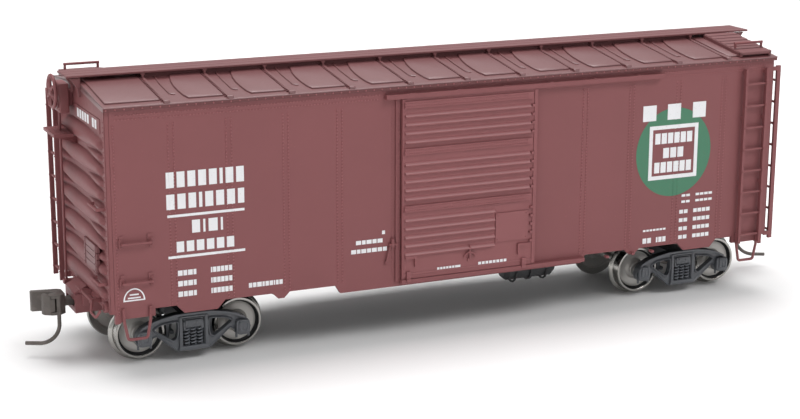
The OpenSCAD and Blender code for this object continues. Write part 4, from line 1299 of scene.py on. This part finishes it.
def wheel_zones(mesh, centre):
    """Gives the tread and rim the bright finish and the rim's inner step the dark one, a painted shade in
    that recess.
    """
    tread = size("tread_radius") * MM
    for face in mesh.polygons:
        place = face.center
        reach = sqrt((place.x - centre.x) ** 2 + (place.z - centre.z) ** 2)
        if reach > tread - 0.58 * MM:
            face.material_index = 1
        elif reach > tread - 0.95 * MM and abs(place.y) > 8.9 * MM:
            face.material_index = 2


class BOXCAR_OT_wheels(bpy.types.Operator):
    """The four wheelsets"""

    bl_idname = "boxcar.wheels"
    bl_label = "Wheelsets"

    def execute(self, context):
        half = wheel_half()
        for name in ("b1", "b2", "a1", "a2"):
            low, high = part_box("wheelset_" + name)
            centre = (low + high) / 2
            shape = Shape().add(half)
            shape.add(half, place=HALF_TURN)
            shape.put(Matrix.Translation(centre / MM))
            made = piece(
                "wheels_" + name, shape, "wheelset_" + name, ["wheel_face", "wheel_tread", "wheel_dark"],
                30, replaces=["wheelset_" + name],
            )
            wheel_zones(made.data, centre)
        return {"FINISHED"}


# ---------------------------------------------------------------- underframe


def under_gear():
    """Straps, rods and levers under the floor."""
    shape = Shape()
    low, high = box("reservoir")
    centre = (low + high) / 2
    angles = [a * pi / 8 for a in range(-8, 1)]
    for x in (low.x + 2.3, high.x - 2.3):
        strap = [(x, centre.y + 2.4 * cos(a), 8.45 + 2.4 * sin(a)) for a in angles]
        shape.add(wire(strap, 0.22))
    low = box("brake_cylinder")[0]
    shape.add(wire([(low.x + 0.2, 7.6, 9.8), (low.x - 3.0, 7.6, 9.9), (low.x - 6.5, 3.6, 10.0)], 0.28, 0.8))
    shape.add(block((low.x - 3.6, 2.6, 9.75), (low.x - 2.4, 8.4, 10.15), 0.1))
    shape.add(wire([(low.x - 3.0, 3.2, 9.7), (-38.0, 3.0, 9.4), (-48.0, 2.8, 9.5)], 0.24, 1.0))
    shape.add(wire([(low.x - 3.0, 4.2, 9.7), (35.5, 3.2, 9.5), (45.5, 2.6, 9.6)], 0.24, 1.0))
    shape.add(wire([(-4.5, 7.7, 9.6), (-4.5, 0.0, 9.9), (-4.5, -8.4, 9.9), (13.0, -8.4, 9.2)], 0.24, 1.2))
    return shape


class BOXCAR_OT_under_gear(bpy.types.Operator):
    """Straps, rods and levers under the floor"""

    bl_idname = "boxcar.under_gear"
    bl_label = "Under gear"

    def execute(self, context):
        piece("under_gear", under_gear(), "car", "underframe_black")
        return {"FINISHED"}


# ---------------------------------------------------------------- marks


INKED = [(-59.9, -45.2, 29.1, 29.6), (-59.9, -45.2, 21.4, 21.9)]
EMBLEM = (47.3, 32.0, 8.9, 9.2)
SQUARE = (41.4, 53.0, 26.5, 37.7)


def inside(x, z, area):
    return area[0] < x < area[1] and area[2] < z < area[3]


def ink_rivets(mesh):
    """Carries the printed marks over the rivet heads that they cover."""
    frame_line = [v + s for v, s in zip(SQUARE, (0.8, -0.8, 0.8, -0.8))]
    for face in mesh.polygons:
        x, z = face.center.x / MM, face.center.z / MM
        x = x if face.center.y < 0 else -x
        if any(inside(x, z, area) for area in INKED):
            face.material_index = 1
        elif inside(x, z, SQUARE):
            face.material_index = 0 if inside(x, z, frame_line) else 1
        elif ((x - EMBLEM[0]) / EMBLEM[2]) ** 2 + ((z - EMBLEM[1]) / EMBLEM[3]) ** 2 < 1:
            face.material_index = 2


def blank_row(x0, x1, z0, z1, widths, gap, face):
    """A row of plain blank blocks between two ends, in the place of a line of print."""
    shape = Shape()
    total = sum(widths) + gap * (len(widths) - 1)
    stretch = (x1 - x0) / total
    x = x0
    for width in widths:
        if width > 0:
            shape.add(block((x, face - size("ink"), z0), (x + width * stretch, face + 0.02, z1)))
            INKED.append((x, x + width * stretch, z0, z1))
        x += (abs(width) + gap) * stretch
    return shape


def side_marks():
    """White stripes and blank blocks on the side that faces -Y."""
    face = PAINTED_FACE
    shape = Shape()
    for z in (29.35, 21.65):
        shape.add(block((-59.9, face - size("ink"), z - 0.24), (-45.2, face + 0.05, z + 0.24)))
    for row in (
        (-60.0, -45.2, 34.6, 37.5, (1.5, 1.5, 1.5, 1.5, 1.5, 0.6, 1.5, 1.5), 0.55),
        (-60.0, -45.2, 30.6, 33.4, (1.5, 1.5, 1.4, 0.6, 1.5, 1.5, 1.5, 1.2), 0.55),
        (-55.3, -49.4, 25.9, 28.3, (1.5, 0.4, 1.7, 0.4), 0.6),
        (-58.3, -47.3, 22.5, 24.5, (1.4,) * 6, 0.5),
    ):
        shape.add(blank_row(*row, face))
    for z in (18.6, 16.6, 14.6):
        shape.add(blank_row(-58.2, -54.7, z - 0.55, z + 0.45, (1, 0.8, 1, 0.6), 0.18, face))
        shape.add(blank_row(-51.9, -47.8, z - 0.55, z + 0.45, (0.4, 0.9, 0.9, 0.9, 0.9, 0.9), 0.18, face))
    shape.add(blank_row(-44.6, -37.9, 14.2, 15.1, (0.9, 0.9, 1.2, 0.6, 0.9, 0.9, 0.4, 0.7, 0.9), 0.2, face))
    shape.add(blank_row(-23.0, -17.5, 20.0, 20.8, (1, 0.7, 1, 0.8, 1), 0.18, face))
    shape.add(blank_row(-24.0, -16.6, 18.3, 19.1, (1, 0.7, 1, 0.8, 1, 0.9, 0.8), 0.18, face))
    shape.add(block((-17.6, face - size("ink"), 21.6), (-17.0, face + 0.05, 22.3)))
    # half-round outline near the corner
    arc = [(-66.5 + 2.05 * cos(a * pi / 16), 14.35 + 2.4 * sin(a * pi / 16)) for a in range(17)]
    inner = [(-66.5 + 1.75 * cos(a * pi / 16), 14.6 + 1.9 * sin(a * pi / 16)) for a in range(16, -1, -1)]
    shape.add(plate(arc, "xz", face + 0.02, face - size("ink"), [inner]))
    for z, half in ((14.95, 1.2), (15.55, 0.85)):
        shape.add(block((-66.5 - half, face - size("ink"), z - 0.13), (-66.5 + half, face + 0.05, z + 0.13)))
    # blocks over and in the emblem
    for x in (39.7, 45.5, 51.5):
        INKED.append((x, x + 3.1, 38.8, 42.0))
        shape.add(block((x, face - 0.06, 38.8), (x + 3.1, face + 0.05, 42.0)))
    hole = rectangle(42.2, 52.2, 27.3, 36.9)
    shape.add(plate(rectangle(*SQUARE), "xz", face + 0.02, face - 0.05, [hole]))
    shape.add(blank_row(42.8, 51.6, 33.9, 36.1, (1.3,) * 6, 0.3, face))
    shape.add(blank_row(44.8, 49.6, 30.9, 33.0, (1.3,) * 3, 0.3, face))
    shape.add(blank_row(42.8, 51.6, 27.9, 30.1, (1.3,) * 6, 0.3, face))
    for z, first in ((22.6, 49.7), (21.3, 49.7), (19.2, 49.3), (17.4, 49.3), (15.6, 49.3), (13.8, 49.3)):
        tall = 0.8 if z < 20 else 0.5
        foot, top = z - tall / 2, z + tall / 2
        shape.add(blank_row(first, first + 2.0, foot, top, (0.8, 0.8), 0.2, face))
        shape.add(blank_row(first + 3.4, first + 7.4, foot, top, (0.9,) * 4, 0.2, face))
    shape.add(blank_row(40.7, 46.1, 15.8, 16.2, (0.7,) * 7, 0.2, face))
    shape.add(blank_row(40.7, 42.7, 13.3, 14.4, (0.8, 0.8), 0.2, face))
    shape.add(blank_row(43.9, 46.2, 13.3, 14.4, (0.4, 0.8, 0.8), 0.2, face))
    return shape


def emblem():
    """A plain green disc behind the white square."""
    face = PAINTED_FACE
    x, z, wide, tall = EMBLEM
    disc = [(x + wide * cos(a * pi / 36), z + tall * sin(a * pi / 36)) for a in range(72)]
    return plate(disc, "xz", face + 0.02, face - 0.025, [rectangle(42.0, 52.4, 27.1, 37.1)])


def door_marks():
    """Small blank rows near the foot of the right door."""
    face = DOOR_FACE - 0.02
    shape = blank_row(-6.3, -1.3, 13.5, 13.95, (0.6,) * 6 + (1.4,), 0.2, face)
    return shape.add(blank_row(2.6, 8.8, 13.5, 14.05, (0.6,) * 8, 0.2, face))


def end_marks():
    """The row of blank blocks on the end panels."""
    out = END_FACE + 0.14
    shape = Shape()
    for i in range(8):
        y = -0.6 + i * 1.72
        if i != 5:
            shape.add(block((out - 0.1, y, 45.45), (out + 0.02, y + 1.2, 47.1)))
    return shape


class BOXCAR_OT_marks(bpy.types.Operator):
    """Stripes, blank marks and the plain emblem"""

    bl_idname = "boxcar.marks"
    bl_label = "Marks"

    def execute(self, context):
        piece("white_marks", side_marks().with_half_turn(), "car", "white_ink")
        ink_rivets(bpy.data.objects["side_rivets"].data)
        piece("green_disc", emblem().with_half_turn(), "car", "green_ink")
        piece("end_marks", end_marks().with_half_turn(), "car", "white_ink")
        marks = door_marks()
        other = Shape().add(marks, place=HALF_TURN)
        piece("door_right_marks", marks, "door_right", "white_ink")
        piece("door_left_marks", other, "door_left", "white_ink")
        return {"FINISHED"}


# ---------------------------------------------------------------- finish and stage


class BOXCAR_OT_cad_finishes(bpy.types.Operator):
    """Gives every shown CAD piece its procedural finish"""

    bl_idname = "boxcar.cad_finishes"
    bl_label = "CAD finishes"

    def execute(self, context):
        for finish, nodes in CAD_FINISHES.items():
            for node in nodes:
                mesh = frame["nodes"][node].data
                mesh.materials.clear()
                mesh.materials.append(material(finish))
        return {"FINISHED"}


def lamp(name, place, aim, width, height, power):
    """A soft rectangular studio lamp, in metres."""
    data = bpy.data.lights.new(name, "AREA")
    data.shape = "RECTANGLE"
    data.size, data.size_y, data.energy = width, height, power
    made = bpy.data.objects.new(name, data)
    made.location = place
    made.rotation_euler = (Vector(aim) - Vector(place)).to_track_quat("-Z", "Y").to_euler()
    bpy.context.scene.collection.objects.link(made)


class BOXCAR_OT_stage(bpy.types.Operator):
    """Pale floor, soft studio light and the camera"""

    bl_idname = "boxcar.stage"
    bl_label = "Stage"

    def execute(self, context):
        scene = context.scene
        scene.view_settings.view_transform = "Standard"
        floor = Shape()
        bmesh.ops.create_grid(floor.bm, x_segments=2, y_segments=2, size=3.0)
        mesh = bpy.data.meshes.new("studio_floor")
        floor.bm.to_mesh(mesh)
        floor.bm.free()
        made = bpy.data.objects.new("studio_floor", mesh)
        scene.collection.objects.link(made)
        mesh.materials.append(material("studio_floor"))

        world = bpy.data.worlds.new("studio")
        scene.world = world
        world.use_nodes = True
        sky = world.node_tree.nodes["Background"]
        sky.inputs["Color"].default_value = (1.0, 1.0, 1.0, 1.0)
        sky.inputs["Strength"].default_value = 0.45
        lamp("key_lamp", (0.4, -0.65, 0.85), (0.0, 0.0, 0.02), 0.6, 0.4, 4.4)
        lamp("top_lamp", (0.0, 0.25, 0.9), (0.0, 0.0, 0.03), 0.9, 0.6, 8.0)
        lamp("left_lamp", (-0.8, -0.25, 0.35), (-0.05, 0.0, 0.03), 0.4, 0.5, 0.6)

        camera = bpy.data.cameras.new("camera")
        camera.lens, camera.sensor_width = 81.83, 36.0
        camera.shift_x, camera.shift_y = -0.0124, 0.0088
        camera.clip_start, camera.clip_end = 0.01, 20.0
        view = bpy.data.objects.new("camera", camera)
        turn, rise, roll, reach = radians(-24.82), radians(14.415), radians(0.324), 0.3678
        back = Vector((sin(turn) * cos(rise), -cos(turn) * cos(rise), sin(rise)))
        aim = Vector((-0.00378, 0.0, 0.01959))
        turned_to = (-back).to_track_quat("-Z", "Y").to_matrix().to_4x4()
        view.matrix_world = Matrix.Translation(aim + back * reach) @ turned_to @ Matrix.Rotation(roll, 4, "Z")
        scene.collection.objects.link(view)
        scene.camera = view
        return {"FINISHED"}


class BOXCAR_PT_panel(bpy.types.Panel):
    bl_idname = "BOXCAR_PT_panel"
    bl_label = "Boxcar"
    bl_space_type = "VIEW_3D"
    bl_region_type = "UI"
    bl_category = "Boxcar"

    def draw(self, context):
        for maker in MAKERS:
            self.layout.operator(maker.bl_idname)
        for group in (context.scene.boxcar_sizes, context.scene.boxcar_colours):
            for name in group.__annotations__:
                self.layout.prop(group, name)


MAKERS = (
    BOXCAR_OT_cad_finishes,
    BOXCAR_OT_side_rivets,
    BOXCAR_OT_roof,
    BOXCAR_OT_walkways,
    BOXCAR_OT_ends,
    BOXCAR_OT_end_fittings,
    BOXCAR_OT_ladder_bolts,
    BOXCAR_OT_steps,
    BOXCAR_OT_doors,
    BOXCAR_OT_hand_brake,
    BOXCAR_OT_couplers,
    BOXCAR_OT_trucks,
    BOXCAR_OT_wheels,
    BOXCAR_OT_under_gear,
    BOXCAR_OT_marks,
    BOXCAR_OT_stage,
)
CLASSES = (BoxcarSizes, BoxcarColours, *MAKERS, BOXCAR_PT_panel)


def register():
    for each in CLASSES:
        bpy.utils.register_class(each)
    bpy.types.Scene.boxcar_sizes = PointerProperty(type=BoxcarSizes)
    bpy.types.Scene.boxcar_colours = PointerProperty(type=BoxcarColours)


def unregister():
    del bpy.types.Scene.boxcar_colours
    del bpy.types.Scene.boxcar_sizes
    for each in reversed(CLASSES):
        bpy.utils.unregister_class(each)


def main():
    register()
    for maker in MAKERS:
        group, name = maker.bl_idname.split(".")
        getattr(getattr(bpy.ops, group), name)()


if __name__ == "__main__":
    main()
